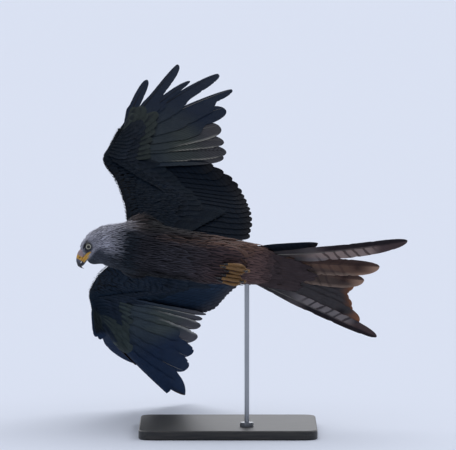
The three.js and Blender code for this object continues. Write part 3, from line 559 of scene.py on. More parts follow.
# %% [markdown]
# The lie of the coat follows one line down the middle of the bird, from the bill over the
# skull, down the neck and along the trunk to the tail. Any place on the body takes its
# direction, and how far down the bird it is, from the stretches of that line nearest to it.

# %% Line of the coat
OVER_SKULL = [on_head(46, 0, -9), on_head(8, 0, -3), on_head(-13, 0, -24)]
DOWN_TRUNK = [(136, -4, -2), (60, 0, -3), (-60, 0, -4), (-180, 2, -2)]
MIDDLE_LINE = np.array([*OVER_SKULL, *DOWN_TRUNK])


def down_the_bird(points):
    """The direction in which feathers lie, and the distance from the bill's tip."""
    starts, ends = MIDDLE_LINE[:-1], MIDDLE_LINE[1:]
    lengths = np.linalg.norm(ends - starts, axis=-1)
    before = np.concatenate([[0], np.cumsum(lengths)[:-1]])
    direction, distance, total = 0, 0, 0
    for start, end, length, so_far in zip(starts, ends, lengths, before):
        run = (end - start) / length
        share = np.clip((points - start) @ run, 0, length)
        gap = np.linalg.norm(points - start - share[..., None] * run, axis=-1)
        weight = 1 / (gap**2 + 16) ** 2
        direction = direction + weight[..., None] * run
        distance = distance + weight * (so_far + share)
        total = total + weight
    return unit(direction), distance / total


HEAD_END = 62.0
NECK_END = 128.0
BODY_END = 395.0


def coat_depth(distance):
    return np.interp(distance, [30, 48, HEAD_END, NECK_END, 200], [0.9, 1.8, 3.0, 5.0, 6.5])


print(f"from bill to tail along the coat: {down_the_bird(MIDDLE_LINE)[1][-1]:.0f} mm")

# %% [markdown]
# ## Colours of the coat
# The head is pale lilac grey with fine dark shafts. Down the neck the streaks grow broad
# and the ground turns brown, the breast is dark red-brown, and the belly and vent are
# plainer and warmer. The back is a darker brown. Under the bird, from throat to vent, these
# colours are painted darker and bluer than its own, as painted shade, since the underside
# lies in shade. These colours are worked out from a place and the way it faces, so the skin
# and its feathers always agree.

# %% Coat colours
CROWN_GREY = linear("#d0d0dc")
FACE_SHADE = linear("#272c36")
LORE_PINK = linear("#c8adaf")
# The throat, breast, belly, vent and undertail colours are painted darker and bluer than the bird's own, as
# painted shade on its underside.
THROAT_IN_SHADE = linear("#2a353f")
NECK_BUFF = linear("#645856")
BREAST_BROWN = linear("#3f3e45")
BELLY_RUST = linear("#4d3f41")
VENT_TAWNY = linear("#6d5653")
UNDERTAIL = linear("#41383a")
FLANK_BROWN = linear("#6f5548")
# Painted shade for the shoulders, beside the roots of the wings.
SHOULDER_SHADE = linear("#111419")
BACK_BROWN = linear("#4b3a33")
SHAFT_DARK = linear("#131419")
BODY_SHAFT = linear("#2b272a")
VENT_SHAFT = linear("#3f3535")
HEAD_SHAFT = linear("#33343f")


def on_stops(distance, stops, colours):
    stack = np.array(colours)
    return np.stack([np.interp(distance, stops, stack[:, i]) for i in range(3)], axis=-1)


def coat_ground(points, outward):
    _, distance = down_the_bird(points)
    forward, side, up = np.moveaxis((points - EYE_MIDDLE) @ HEAD.T, -1, 0)
    front = [CROWN_GREY, CROWN_GREY, THROAT_IN_SHADE, BREAST_BROWN, BREAST_BROWN]
    below = [*front, BELLY_RUST, VENT_TAWNY, UNDERTAIL]
    below = on_stops(distance, [44, 66, 88, 112, 190, 270, 330, 390], below)
    above = [CROWN_GREY, CROWN_GREY, NECK_BUFF, BACK_BROWN, BACK_BROWN]
    above = on_stops(distance, [44, 78, 104, 134, 390], above)
    on_back = soft_step(outward[..., 2], -0.1, 0.5)
    on_nape = soft_step(outward[..., 1] + outward[..., 2], -0.3, 0.5)
    facing_up = on_nape + (on_back - on_nape) * soft_step(distance, 105, 150)
    colour = blend(below, above, facing_up)
    flank = soft_step(outward[..., 1], 0.35, 0.75) * soft_step(distance, 130, 170)
    colour = blend(colour, FLANK_BROWN, 0.7 * flank * (1 - soft_step(distance, 330, 380)))
    # Over the shoulders, at the roots of the wings, the coat is painted near black, as painted shade.
    shoulder = soft_step(np.abs(points[..., 1]), 24, 40) * soft_step(distance, 95, 125)
    colour = blend(colour, SHOULDER_SHADE, 0.95 * shoulder * (1 - soft_step(distance, 190, 260)))
    # Under the chin the coat is painted dark grey, as painted shade under the head.
    shade_under_chin = soft_step(-up, 8, 17) * soft_step(forward, -12, 6) * (1 - soft_step(distance, 75, 110))
    colour = blend(colour, THROAT_IN_SHADE, 0.92 * shade_under_chin)
    around_eye = np.hypot((forward - 4.5) / 15.0, (up - 0.4) / 11.5)
    on_face = soft_step(np.abs(side), 6, 11)
    colour = blend(colour, FACE_SHADE, 0.9 * (1 - soft_step(around_eye, 0.55, 1.05)) * on_face)
    lores = 1 - soft_step(np.hypot((forward - 19.0) / 5.5, (up - 7.0) / 6.0), 0.5, 1.1)
    return blend(colour, LORE_PINK, 0.8 * lores)


def coat_mark(points, outward):
    _, distance = down_the_bird(points)
    stops = [48, 58, 76, 150, 200, 280, 340]
    colours = [HEAD_SHAFT, HEAD_SHAFT, SHAFT_DARK, SHAFT_DARK, BODY_SHAFT, BODY_SHAFT, VENT_SHAFT]
    return on_stops(distance, stops, colours)


print("the breast in linear light:", BREAST_BROWN.round(3))

# %% [markdown]
# ## The skin
# A real bird's skin is one sheet from bill to tail, so one mesh replaces the solids of the
# torso, neck and head, and runs on inside the wings and the root of the tail. Rough balls
# and tubes are fused with a voxel remesh, which leaves no seam, where a boolean union would
# leave creases. Each point is then drawn to the flesh field, deep enough to leave room for
# the feathers.

# %% Wing bones
LEFT_WING = {
    "shoulder": (80, 36, 36),
    "elbow": (33, 88, 131),
    "wrist": (140, 132, 209),
    "hand_tip": (102, 186, 312),
    "inner_edge": [(116, 26, 22), (117.5, 66, 88), (131, 102, 150)],
    "hand_edge": [(150, 133, 211), (137, 153, 248), (112.5, 186, 315)],
    "fan": [14.4, 26.7, 45.2, 58.5, 72.1],
    "dihedral": [66.1, 66.1, 65.9, 66.4, 67.3],
    "primary_lengths": [250, 257, 261, 275, 325, 396, 419, 316, 360, 227],
    "primary_lead": [17, 31, 29, 29, 27, 6, 9, 13, 8, 13],
    "primary_trail": [28, 31, 33, 41, 50, 35, 30, 17, 28, 15],
    "primary_turn": [4, 1, 1, 1.8, 0.8, 0, 1.4, -2, 0, 0],
    "primary_bend": [-3, 0, 8, -2, 1, -1, 0, -1, -6, 0],
    "finger_notch": [0.66, 0.75, 0.56, 0.57, 0.44, 0.41],
    "finger_lead_cut": [0, 0.03, 0.15, 0.24, 0.3, 0.3],
    "finger_trail_cut": [0.3, 0.42, 0.25, 0.54, 0.42, 0.3],
    "secondary_out": [0.083, 0.03, 0, -0.01, 0],
    "secondary_rise": [0.2, 0.225, 0.2, 0.18, 0.17],
    "secondary_lengths": [217, 234, 232, 214, 192, 184, 196, 210],
    "hand_sweep": 0.01,
    "alula_lengths": [154, 124, 96],
    "alula_turns": [-3, -6, -9],
    # The next two numbers scale this wing's colours down, as painted shade: tone for all its feathers, the
    # other for the undersides of its secondaries.
    "tone": 0.75,
    "arm_painted_light": 0.75,
    "olive": (0.85, 1.2),
}
RIGHT_WING = {
    "shoulder": (80, 36, 36),
    "elbow": (22, 85, 126),
    "wrist": (117, 132, 212),
    "hand_tip": (71, 206, 304),
    "inner_edge": [(118, 26, 24), (138, 64, 80), (142, 92, 132)],
    "hand_edge": [(131, 131, 207), (114, 162, 248), (84, 226, 315)],
    "fan": [5.4, 25.9, 46.6, 55.7, 57.3],
    "dihedral": [79, 71, 63.5, 58.5, 61.5],
    "primary_lengths": [230, 233, 248, 281, 325, 369, 400, 433, 356, 230],
    "primary_lead": [17, 16, 19, 26, 27, 27, 13, 7, 7, 14],
    "primary_trail": [36, 39, 48, 51, 60, 51, 30, 29, 30, 25],
    "primary_turn": [1, 0, 0.4, 2.4, 1.2, 0.4, 0, -1, -2, 1],
    "primary_bend": [0, 0, 0, -3, -2, 2, 0, -2, 0, 0],
    "finger_notch": [0.66, 0.63, 0.6, 0.57, 0.61, 0.5],
    "finger_lead_cut": [0.06, 0.3, 0.3, 0.2, 0.75, 0.3],
    "finger_trail_cut": [0.3, 0.3, 0.35, 0.3, 0.18, 0.54],
    "secondary_out": [0.022, 0.05, 0.02, 0, 0],
    "secondary_rise": [0.11, 0.23, 0.31, 0.37, 0.38],
    "secondary_lengths": [221, 217, 212, 198, 180, 181, 210, 236],
    "hand_sweep": 0.06,
    "alula_lengths": [150, 162, 157],
    "alula_turns": [7, 1, -3],
    "outer_covert": (20.0, 218.0, 0.32),
    # The next two numbers scale this wing's colours up, as painted light: tone for all its feathers, the
    # other for the undersides of its secondaries.
    "tone": 1.6,
    "arm_painted_light": 1.8,
    "olive": (0.5, 0.82),
}
WINGS = (("left", LEFT_WING), ("right", RIGHT_WING))
for word, pose in WINGS:
    joints = np.array([pose[key] for key in ("shoulder", "elbow", "wrist", "hand_tip")])
    bones = np.linalg.norm(np.diff(joints, axis=0), axis=-1)
    print(word, "upper arm, forearm and hand in mm:", bones.round())

# %% [markdown]
# The flesh of a wing is a long lens, thick at the shoulder and thin at the tip of the hand,
# between the leading edge and a line a little behind the bones. A place on it is told by t,
# the share of the way along it, and by the share of its width ahead of its rear edge.

# %% Flesh of the wings
CORE_THICKNESS = [26, 24, 19, 13, 9, 5]
CORE_ARCH = [3, 6, 6, 3, 1, 0]


def flesh_behind(pose):
    joints = (np.array(pose[key], float) for key in ("shoulder", "elbow", "wrist", "hand_tip"))
    shoulder, elbow, wrist, hand_tip = joints
    bones = [shoulder, (shoulder + elbow) / 2, elbow, wrist, (wrist + hand_tip) / 2, hand_tip]
    back = [(-38, -6, -6), (-24, 4, 6), (-14, 1, 3), (-15, 1, 3), (-12, 2, 6), (-6, 2, 8)]
    return np.array(bones) + back


def core_frame(pose, t):
    """The rear edge of the wing's flesh at t along the wing, its chord and its upper side."""
    front, rear = [*pose["inner_edge"], *pose["hand_edge"]], flesh_behind(pose)
    back = curve(rear, t)
    chord = curve(front, t) - back
    tangent = curve(front, t + 0.005) - curve(front, t - 0.005)
    return back, chord, unit(np.cross(chord, tangent))


def core_place(pose, t, share, rise):
    back, chord, normal = core_frame(pose, t)
    return back + chord * share[..., None] + normal * rise[..., None]


def core_rings(pose, shrink, stations=40, sides=20):
    t = np.linspace(0, 1, stations)[:, None]
    angle = np.linspace(0, 2 * math.pi, sides, endpoint=False)[None, :]
    share = 0.5 + 0.47 * np.cos(angle) + 0 * t
    arch = along(CORE_ARCH, t) * 4 * share * (1 - share)
    rise = shrink * along(CORE_THICKNESS, t) / 2 * np.sin(angle) + arch
    return core_place(pose, t + 0 * angle, share, rise)


print("rings along the flesh of a wing:", len(core_rings(LEFT_WING, 1.0)))

# %% [markdown]
# The balls and tubes that are fused all start as rings round a line. A fan of triangles closes
# each end, because a remesh needs a closed surface to tell inside from outside.


# %% Balls and tubes
def capped(rings):
    """Points and triangles of a closed tube through rings."""
    rows, sides, _ = rings.shape
    quads = grid_faces(1, rows, sides, closed=True)
    triangles = np.concatenate([quads[:, [0, 1, 2]], quads[:, [0, 2, 3]]])
    points = np.concatenate([rings.reshape(-1, 3), rings[:1].mean(1), rings[-1:].mean(1)])
    step = np.arange(sides)
    first = rows * sides
    start = together(first, (step + 1) % sides, step)
    tail = (rows - 1) * sides
    end = together(first + 1, tail + step, tail + (step + 1) % sides)
    return points, np.concatenate([triangles, start, end])


def ball_rings(centre, radii, axes, rows=14, sides=20):
    polar = np.linspace(0.04, math.pi - 0.04, rows)
    centres = together(np.cos(polar), 0.0, 0.0)
    wide, tall = together(0.0, np.sin(polar), 0.0), together(0.0, 0.0, np.sin(polar))
    return centre + (ring_grid(centres, wide, tall, sides) * radii) @ axes


print("triangles of a capped ball:", len(capped(ball_rings(0.0, 1.0, np.eye(3)))[1]))

# %% [markdown]
# The voxels are 2.4 mm wide, fine enough for the bird's neck and wrists, and a few rounds of
# smoothing take their steps away. What shows of the skin between feathers is down in the
# coat's colours at half their brightness, as painted shade in the gaps. Down scatters light
# softly and has no gloss, so its roughness is high and its specular level low.

# %% Skin
SKIN_VOXEL = 2.4
SKIN_UNDER = 2.0
WING_CORE = 0.6
# Tufts of down are 1.1 mm wide.
DOWN_FLUFF = 1.111
# The skin of the wings is painted near black, as painted shade between their coverts.
WING_SKIN = linear("#14181d")


def fused_skin():
    tubes = [ball_rings(centre, radii - SKIN_UNDER, axes) for centre, radii, _, axes in MASSES]
    tubes += [core_rings(LEFT_WING, WING_CORE), mirrored(core_rings(RIGHT_WING, WING_CORE))]
    points, faces, start = [], [], 0
    for tube_points, tube_faces in map(capped, tubes):
        points.append(tube_points)
        faces.append(tube_faces + start)
        start += len(tube_points)
    rough = bpy.data.meshes.new("rough")
    rough.from_pydata(np.concatenate(points).tolist(), [], np.concatenate(faces).tolist())
    holder = put_in_scene("rough", rough)
    remesh = holder.modifiers.new("fuse", "REMESH")
    remesh.mode = "VOXEL"
    remesh.voxel_size = SKIN_VOXEL
    soften = holder.modifiers.new("soften", "SMOOTH")
    soften.iterations = 6
    shaped = holder.evaluated_get(bpy.context.evaluated_depsgraph_get()).to_mesh()
    made = np.zeros(len(shaped.vertices) * 3, np.float32)
    shaped.vertices.foreach_get("co", made)
    corners = np.zeros(len(shaped.loops), np.int32)
    shaped.loops.foreach_get("vertex_index", corners)
    holder.to_mesh_clear()
    bpy.data.objects.remove(holder)
    bpy.data.meshes.remove(rough)
    return made.reshape(-1, 3).astype(float), corners.reshape(-1, 4)


def downy_skin(node):
    ground = node("Attribute", output="Color", attribute_name="ground")
    place = node("TexCoord", output="Object")
    fluff = node("TexNoise", {"Vector": place, "Scale": per_metre(DOWN_FLUFF), "Detail": 2.0}, "Fac")
    relief = node("Bump", {"Height": fluff, "Strength": 0.6, "Distance": 0.0006})
    finish = {"Base Color": ground, "Roughness": 0.85, "Specular IOR Level": 0.1}
    return node("BsdfPrincipled", {**finish, "Normal": relief})


skin_points, skin_faces = fused_skin()
skin_outward = flesh_normal(skin_points)
_, skin_distance = down_the_bird(skin_points)
skin_depth = coat_depth(skin_distance)
near_flesh = 1 - soft_step(np.abs(flesh(skin_points) + skin_depth), 3.5, 7)
drawn = settle(skin_points, skin_outward, -skin_depth)
skin_points = blend(skin_points, drawn, near_flesh)
# Half the coat's brightness, as painted shade in the gaps between feathers.
skin_ground = coat_ground(skin_points, skin_outward) * 0.5
skin_ground = blend(WING_SKIN, skin_ground, near_flesh)


def unrolled(points, distance):
    """Places on the baking map: down the bird, and round it."""
    around = np.arctan2(points[..., 1], points[..., 2]) / (2 * math.pi) + 0.5
    return together(distance / BODY_END, around)


new_piece(
    "skin", skin_points, skin_faces, new_material("bird_skin", downy_skin), "body_feathers",
    {"ground": np.hstack([skin_ground, np.ones((len(skin_points), 1))])},
    unrolled(skin_points, skin_distance), ("torso", "neck", "head"),
)

# %% [markdown]
# ## Feathers of head, neck and body
# Small feathers grow out of the skin all over and overlap like tiles. Strands of hair would
# cover it sooner, but a strand has no web and no streak along its shaft. Their roots are
# spread by throwing many random points on the skin and keeping only those that are far
# enough from each other, closest on the face and widest on the belly. Each feather then
# lies along the coat's line, with its tip a little higher than its root.

# %% Roots on the skin
THROWS = 110000
COAT_REACH = 1.6
COAT_REAR = -212


def points_on_skin(count):
    corners = skin_points[skin_faces]
    diagonal_a = corners[:, 2] - corners[:, 0]
    diagonal_b = corners[:, 3] - corners[:, 1]
    area = np.linalg.norm(np.cross(diagonal_a, diagonal_b), axis=-1)
    chosen = dice.choice(len(area), count, p=area / area.sum())
    u, v = dice.random((2, count, 1))
    quad = corners[chosen]
    low = quad[:, 0] * (1 - u) + quad[:, 1] * u
    high = quad[:, 3] * (1 - u) + quad[:, 2] * u
    return low * (1 - v) + high * v


def thinned(points, direction, spacing, stretch):
    """The points that are left when each kept one clears an oval around it.

    The oval is longer along the lie of the coat, which leaves feathers in long rows."""
    tree = KDTree(len(points))
    for i, place in enumerate(points):
        tree.insert(place, i)
    tree.balance()
    free = np.ones(len(points), bool)
    kept = []
    for i in np.argsort(dice.random(len(points))):
        if free[i]:
            kept.append(i)
            found = tree.find_range(points[i], spacing[i] * stretch[i])
            near = np.array([other for _, other, _ in found])
            gap = points[near] - points[i]
            onward = gap @ direction[i]
            sideways = (gap * gap).sum(-1) - onward**2
            free[near[sideways + (onward / stretch[i]) ** 2 < spacing[i] ** 2]] = False
    return np.array(kept)


def feather_spacing(distance):
    stops = [26, 44, HEAD_END, 90, NECK_END, 180, 400]
    return np.interp(distance, stops, [0.9, 1.2, 1.8, 2.4, 2.8, 3.4, 3.4])


def feather_stretch(distance):
    return np.interp(distance, [28, 44, HEAD_END, 90], [1.2, 2.0, 3.2, 4.0])


def bare_of_feathers(points):
    """Places on the head that the bill, the eyes and the gape keep bare."""
    forward, side, up = np.moveaxis((points - EYE_MIDDLE) @ HEAD.T, -1, 0)
    under_bill = forward > 20.0
    at_eye = np.hypot(forward - 0.2, up) < 7.3
    gape_line = -7.2 - 0.42 * (13 - forward)
    at_gape = (forward > 7) & (np.abs(up - gape_line) < 3.4)
    return under_bill | ((at_eye | at_gape) & (np.abs(side) > 6))


candidates = points_on_skin(THROWS)
on_body = np.abs(flesh(candidates) + coat_depth(down_the_bird(candidates)[1])) < COAT_REACH
before_tail = candidates[:, 0] > COAT_REAR
candidates = candidates[on_body & before_tail & ~bare_of_feathers(candidates)]
lie, how_far = down_the_bird(candidates)
kept = thinned(candidates, lie, feather_spacing(how_far), feather_stretch(how_far))
roots = candidates[kept]
print("feathers on head, neck and body:", len(roots))

# %% [markdown]
# The feathers of head and neck are narrow and pointed, those of the body rounded. Each is a
# small grid whose rows are drawn to the flesh field, low at the root and higher at the tip,
# so it curves with the body and lies on the feathers behind it. A little scatter in length,
# direction and tint, and a ragged edge, keep the coat from looking machine made.


# %% Shapes of small feathers
def leaf(t):
    """Half width of a small rounded feather, from root to tip."""
    return np.minimum(0.35 + 1.6 * t, 1) * np.sqrt(np.clip(1 - t**3.4, 0.004, 1))


def lance(t):
    """Half width of the narrow pointed feathers of head and neck."""
    return np.minimum(0.4 + 1.8 * t, 1) * np.clip(1 - t**2.2, 0.03, 1)


def tuft_maps(t, x):
    """A small feather's places on its vane, and on its patch of the baking map."""
    return together(x, t[:, None], 0.0), TUFT_PATCH * together(t[:, None] - 0.5, x / 2)


print("a lance's width half way along, as a share:", round(float(lance(0.5)), 2))

# %% [markdown]
# All feathers of one piece of the coat are laid at once. Their shafts first run straight over
# the skin, and settle then moves every point along the skin's outward direction to its level.


# %% Laying the feathers
def lay_coat(name, slot, chosen, length, width, outline, streak, rows, columns):
    """One coat piece over the chosen roots. Lengths, widths and streaks are arrays."""
    base = roots[chosen]
    count = len(base)
    outward = flesh_normal(base)
    direction, distance = down_the_bird(base)
    aim = direction + dice.normal(0, 0.06, (count, 3))
    aim = unit(aim - (aim * outward).sum(-1, keepdims=True) * outward)
    sideways = np.cross(outward, aim)
    t = np.linspace(0, 1, rows)
    x = np.linspace(-1, 1, columns)
    length = length * dice.uniform(0.88, 1.12, count)
    length = length * (1 - 0.5 * dice.random(count) * soft_step(distance, 340, 390))
    half = width[:, None] / 2 * outline(t) * dice.uniform(0.9, 1.1, (count, 1))
    ragged = 1 - 0.16 * dice.random((count, rows, columns)) * (t > 0.45)[None, :, None]
    bent = t[:, None] - 0.1 * x**2 * t[:, None] * (1 - t[:, None])
    forward = bent * ragged**0.5
    onward = aim[:, None, None] * (length[:, None, None] * forward)[..., None]
    across = sideways[:, None, None] * (x * half[..., None] * ragged)[..., None]
    points = base[:, None, None] + onward + across
    depth = coat_depth(distance)
    tip_level = dice.uniform(-0.45, 0.15, count) * depth
    level = blend_level(-depth - 0.3, tip_level, t)[..., None] - 0.05 * width[:, None, None] * x**2
    points = settle(points, outward[:, None, None], level)
    vane, patch = tuft_maps(t, x)
    barb = forward * length[:, None, None] - 0.5 * np.abs(x) * half[..., None]
    tint = dice.normal(1, 0.09, (count, 1, 1, 1))
    ground = coat_ground(base, outward)[:, None, None] * tint
    mark = coat_mark(base, outward)[:, None, None] * tint
    pattern = together(0.0, streak, 0.96)[:, None, None]
    bake = unrolled(base, distance)[:, None, None] + patch
    coat = Plumage(name, SOFT_WEB, slot)
    coat.add(points, vane, barb, (ground, mark, pattern), bake)
    return coat.make()


def blend_level(low, high, t):
    rise = np.sin(np.clip(t, 0, 1) * math.pi / 2) ** 0.8
    return low[:, None] + (high - low)[:, None] * rise


print("roots to lay feathers on:", len(roots))

# %% [markdown]
# The coat is laid as three pieces. On the face the feathers are 3 mm long, at the back of the
# head 20 mm, and on the breast and the hind neck up to 40 mm. The streak along the shaft is a
# hair line on the face, broadest on the lower neck and breast, and thins out again over the
# belly.

# %% Coat of head, neck and body
root_distance = down_the_bird(roots)[1]
root_outward = flesh_normal(roots)


def per_feather(stops, values, chosen):
    return np.interp(root_distance[chosen], stops, values)


of_head = np.flatnonzero(root_distance < HEAD_END)
of_neck = np.flatnonzero((root_distance >= HEAD_END) & (root_distance < NECK_END))
of_body = np.flatnonzero(root_distance >= NECK_END)
lay_coat(
    "coat_head", "head_feathers", of_head,
    length=per_feather([28, 40, 50, HEAD_END], [2.8, 6, 12, 20], of_head),
    width=per_feather([26, 40, HEAD_END], [1.5, 2.2, 3.8], of_head),
    outline=lance,
    streak=per_feather([28, 44, 52, HEAD_END], [0.16, 0.26, 0.38, 0.5], of_head),
    rows=6, columns=4,
)
lay_coat(
    "coat_neck", "head_feathers", of_neck,
    length=per_feather([HEAD_END, 80, NECK_END], [22, 32, 40], of_neck),
    width=per_feather([HEAD_END, 84, NECK_END], [4.2, 5.6, 6.6], of_neck),
    outline=lance,
    streak=per_feather([HEAD_END, 80, NECK_END], [0.42, 0.55, 0.6], of_neck),
    rows=8, columns=5,
)
body_streak = per_feather([NECK_END, 200, 270, 330], [0.62, 0.55, 0.4, 0.22], of_body)
lay_coat(
    "coat_body", "body_feathers", of_body,
    length=per_feather([NECK_END, 180, 300, 350, BODY_END], [40, 40, 38, 38, 34], of_body),
    width=per_feather([NECK_END, 180, BODY_END], [6, 8, 11], of_body),
    outline=leaf,
    streak=np.where(root_outward[of_body, 2] > 0.2, 0.62, body_streak),
    rows=8, columns=5,
)

# %% [markdown]
# ## Sheets of quills
# The flight feathers of a wing form a sheet. Each quill starts on the hand or the forearm
# and runs back along its own direction, and the quills fan out and bow a little. A place
# on the sheet is told by k, the share of the way along the row of quills, and s, the
# millimetres from the roots. These are the sheets that the solid vanes were made on.

# %% Sheets
BOW = 300.0


class QuillSheet:
    def __init__(self, root, aim, lengths, leadward, lift, sweep):
        self.root, self.aim, self.lengths = root, aim, lengths
        self.leadward, self.lift, self.sweep = leadward, lift, sweep

    def straight(self, k, s):
        return self.root(k) + self.aim(k) * s[..., None]

    def spanward(self, k, s):
        small = 0.01
        return (self.straight(k + small, s) - self.straight(k - small, s)) / (2 * small)

    def normal(self, k, s):
        span = self.spanward(k, np.maximum(s, 40)) * self.leadward
        return unit(np.cross(span, self.aim(k)))

    def place(self, k, s):
        bow = s * (s - BOW) / BOW
        up = self.normal(k, s)
        across = np.cross(self.aim(k), up)
        raised = up * (self.lift(k) * bow)[..., None]
        return self.straight(k, s) + raised - across * (self.sweep * bow)[..., None]

    def spread(self, k, s):
        span = self.spanward(k, np.maximum(s, 25))
        aim = self.aim(k)
        slant = (span * aim).sum(-1)
        return np.linalg.norm(span - aim * slant[..., None], axis=-1), slant

    def length_at(self, k):
        return float(curve(self.lengths, k))


class TurnedSheet:
    """The hand's sheet as one primary sees it, with its own turn and bend in the fan."""

    def __init__(self, sheet, length, turn, bend):
        self.sheet, self.length, self.bend = sheet, length, bend
        self.slope = math.tan(math.radians(turn))
        self.leadward, self.normal, self.spread = sheet.leadward, sheet.normal, sheet.spread

    def place(self, k, s):
        across = np.cross(self.sheet.aim(k), self.sheet.normal(k, s))
        t = s / self.length
        shift = self.slope * s + self.bend * 4 * t * (1 - t)
        return self.sheet.place(k, s) + across * shift[..., None]


class Blade:
    """A sheet for one feather on its own. Here k is the distance to its leading side."""

    leadward = 1

    def __init__(self, start, tip, up, sweep=0.0, lift=0.0):
        self.start = np.array(start, float)
        run = np.array(tip, float) - self.start
        self.length = float(np.linalg.norm(run))
        self.aim = run / self.length
        self.across = unit(np.cross(self.aim, up))
        self.up = unit(np.cross(self.across, self.aim))
        self.sweep, self.lift = sweep, lift

    def normal(self, k, s):
        return np.broadcast_to(self.up, (*np.broadcast(k, s).shape, 3))

    def place(self, k, s):
        bow = self.length * ((s / self.length) ** 2 - s / self.length)
        beside = self.across * (k - self.sweep * bow)[..., None]
        raised = self.up * (self.lift * bow)[..., None]
        return self.start + self.aim * s[..., None] + beside + raised

    def spread(self, k, s):
        return np.ones(np.shape(s)), np.zeros(np.shape(s))


print("depth of a quill's bow by its middle, before its lift:", BOW / 4, "mm")

# %% [markdown]
# The hand's quills start between wrist and hand tip and fan out widely. Those of the forearm
# start along the line from wrist to elbow, and the innermost on the upper arm, and lie nearly
# side by side. How far they fan and how steeply they rise was read from the photo.


# %% Sheets of hand and arm
def hand_sheet(pose):
    wrist, hand_tip = np.array(pose["wrist"], float), np.array(pose["hand_tip"], float)

    def root(k):
        return wrist + (hand_tip - wrist) * (0.02 + 0.96 * (k - 0.06 * k**4))[..., None]

    def aim(k):
        fan = np.radians(curve(pose["fan"], k))
        rise = np.radians(curve(pose["dihedral"], k))
        return together(-np.cos(fan), np.sin(fan) * np.cos(rise), np.sin(fan) * np.sin(rise))

    def lift(k):
        return 0.03 + 0.06 * k

    return QuillSheet(root, aim, pose["primary_lengths"], 1, lift, pose["hand_sweep"])


def arm_sheet(pose):
    shoulder, elbow, wrist = (np.array(pose[key], float) for key in ("shoulder", "elbow", "wrist"))
    quill_line = [wrist, (wrist + elbow) / 2, elbow, elbow + 0.8 * (shoulder - elbow)]

    def root(k):
        return curve(quill_line, 0.02 + 0.96 * k)

    def aim(k):
        out, rise = curve(pose["secondary_out"], k), curve(pose["secondary_rise"], k)
        return unit(together(-np.sqrt(np.maximum(1 - out**2 - rise**2, 0)), out, rise))

    def lift(k):
        return along([0.03, -0.06, -0.06, -0.06], k)

    return QuillSheet(root, aim, pose["secondary_lengths"], -1, lift, 0.0)


for word, pose in WINGS:
    print(word, "wing's longest primary:", max(pose["primary_lengths"]), "mm")

# %% [markdown]
# ## One large feather
# A flight feather has a stiff shaft with a narrow web ahead of it and a broad one behind. A
# flat card cut to its outline would be simpler, but light glances off a bent web differently.
# Barbs leave the shaft at a slant and end on the feather's outline, so each row of the grid
# follows a barb: its far end is set on the outline first, and its root is then found further
# back on the shaft. Here and there the web is nicked, as worn feathers are. Each web has an
# upper and a lower face, because the two sides of a kite's wing are coloured differently.

# %% Outlines of feathers
LEAD_OVER = 0.95
TRAIL_OVER = 1.7
BARB_SLANT = {1: 1.1, -1: 0.75}
NO_STREAK = 0.001


def rounded(t):
    share = np.minimum(0.28 + 1.9 * t, 1) * np.sqrt(np.maximum(1 - t**8, 0.0004))
    return share, share


def pointed(t):
    share = np.minimum(0.28 + 1.9 * t, 1) * np.sqrt(np.maximum(1 - t**3, 0.0004))
    return share, share


def finger(notch, lead_cut, trail_cut):
    """The outline of a fingered primary, whose webs are cut in from the notch outwards."""

    def outline(t):
        narrow = soft_step(t, notch - 0.06, notch + 0.06)
        tip = np.sqrt(np.maximum(1 - t**7, 0.0002))
        share = np.minimum(0.26 + 1.9 * t, 1) * tip
        return share * (1 - lead_cut * narrow), share * (1 - trail_cut * narrow)

    return outline


print("share of a rounded web's width half way along:", round(float(rounded(0.5)[0]), 2))

# %% [markdown]
# A feather is laid on its sheet barb by barb. The web ahead of its shaft stops short of the
# next quill, and the broad web behind may reach under that of its neighbour. A round rod along
# its middle is the shaft, which is what catches the light on a real wing.


# %% Laying one feather
def nicks(rows, depth):
    """How much of the web is left at each row: mostly all, with a few worn nicks."""
    wear_and_glow = dice.random(rows) < 0.14
    return 1 - depth * (0.35 * dice.random(rows) + wear_and_glow * dice.uniform(0.6, 1.6, rows))


def add_feather(
    coat, sheet, k, length, widths, outline, paint, strip, start=0.0, interval=math.inf, step=0.0,
    height=0.0, rows=34, columns=6, wear=0.05, thick=0.5, pitch=11.0, camber=0.0, faces=(1, -1),
    outermost=False,
):
    """Adds both webs of one feather. strip is its place and height on the baking map."""
    t = 1 - (1 - np.linspace(0, 1, rows)) ** 1.35
    f = np.linspace(0, 1, columns)
    edge = start + t * (length - start)
    spacing, _ = sheet.spread(k + 0 * edge, edge)
    neighbour = spacing * interval
    shares = outline(t)
    lead_over = math.inf if outermost else LEAD_OVER
    for web, width, share, over in zip((1, -1), widths, shares, (lead_over, TRAIL_OVER)):
        half = np.minimum(width * share, over * neighbour) * nicks(rows, wear)
        quill = np.maximum(edge - BARB_SLANT[web] * half, start)
        s = quill[:, None] + (edge - quill)[:, None] * f
        side = web * half[:, None] * f
        wide, slant = sheet.spread(k + 0 * s, s)
        away = sheet.leadward * side / wide
        place = sheet.place(k + away, s - slant * away)
        up = sheet.normal(k + away, s)
        rise = height + step * side / neighbour[:, None] - camber * f**2
        for face in faces:
            body = thick * (1 - 0.7 * f) * (1 - 0.8 * t[:, None])
            points = place + up * (rise + face * body / 2)[..., None]
            across = web * f + 0 * s
            down = s / length
            vane = together(across, down, quill[:, None] / pitch)
            low = strip[0] + strip[1] * (0.25 + 0.5 * (face < 0))
            bake = together(down, low + 0.24 * strip[1] * across)
            coat.add(points[None], vane, quill[:, None], paint(face, down, across), bake)


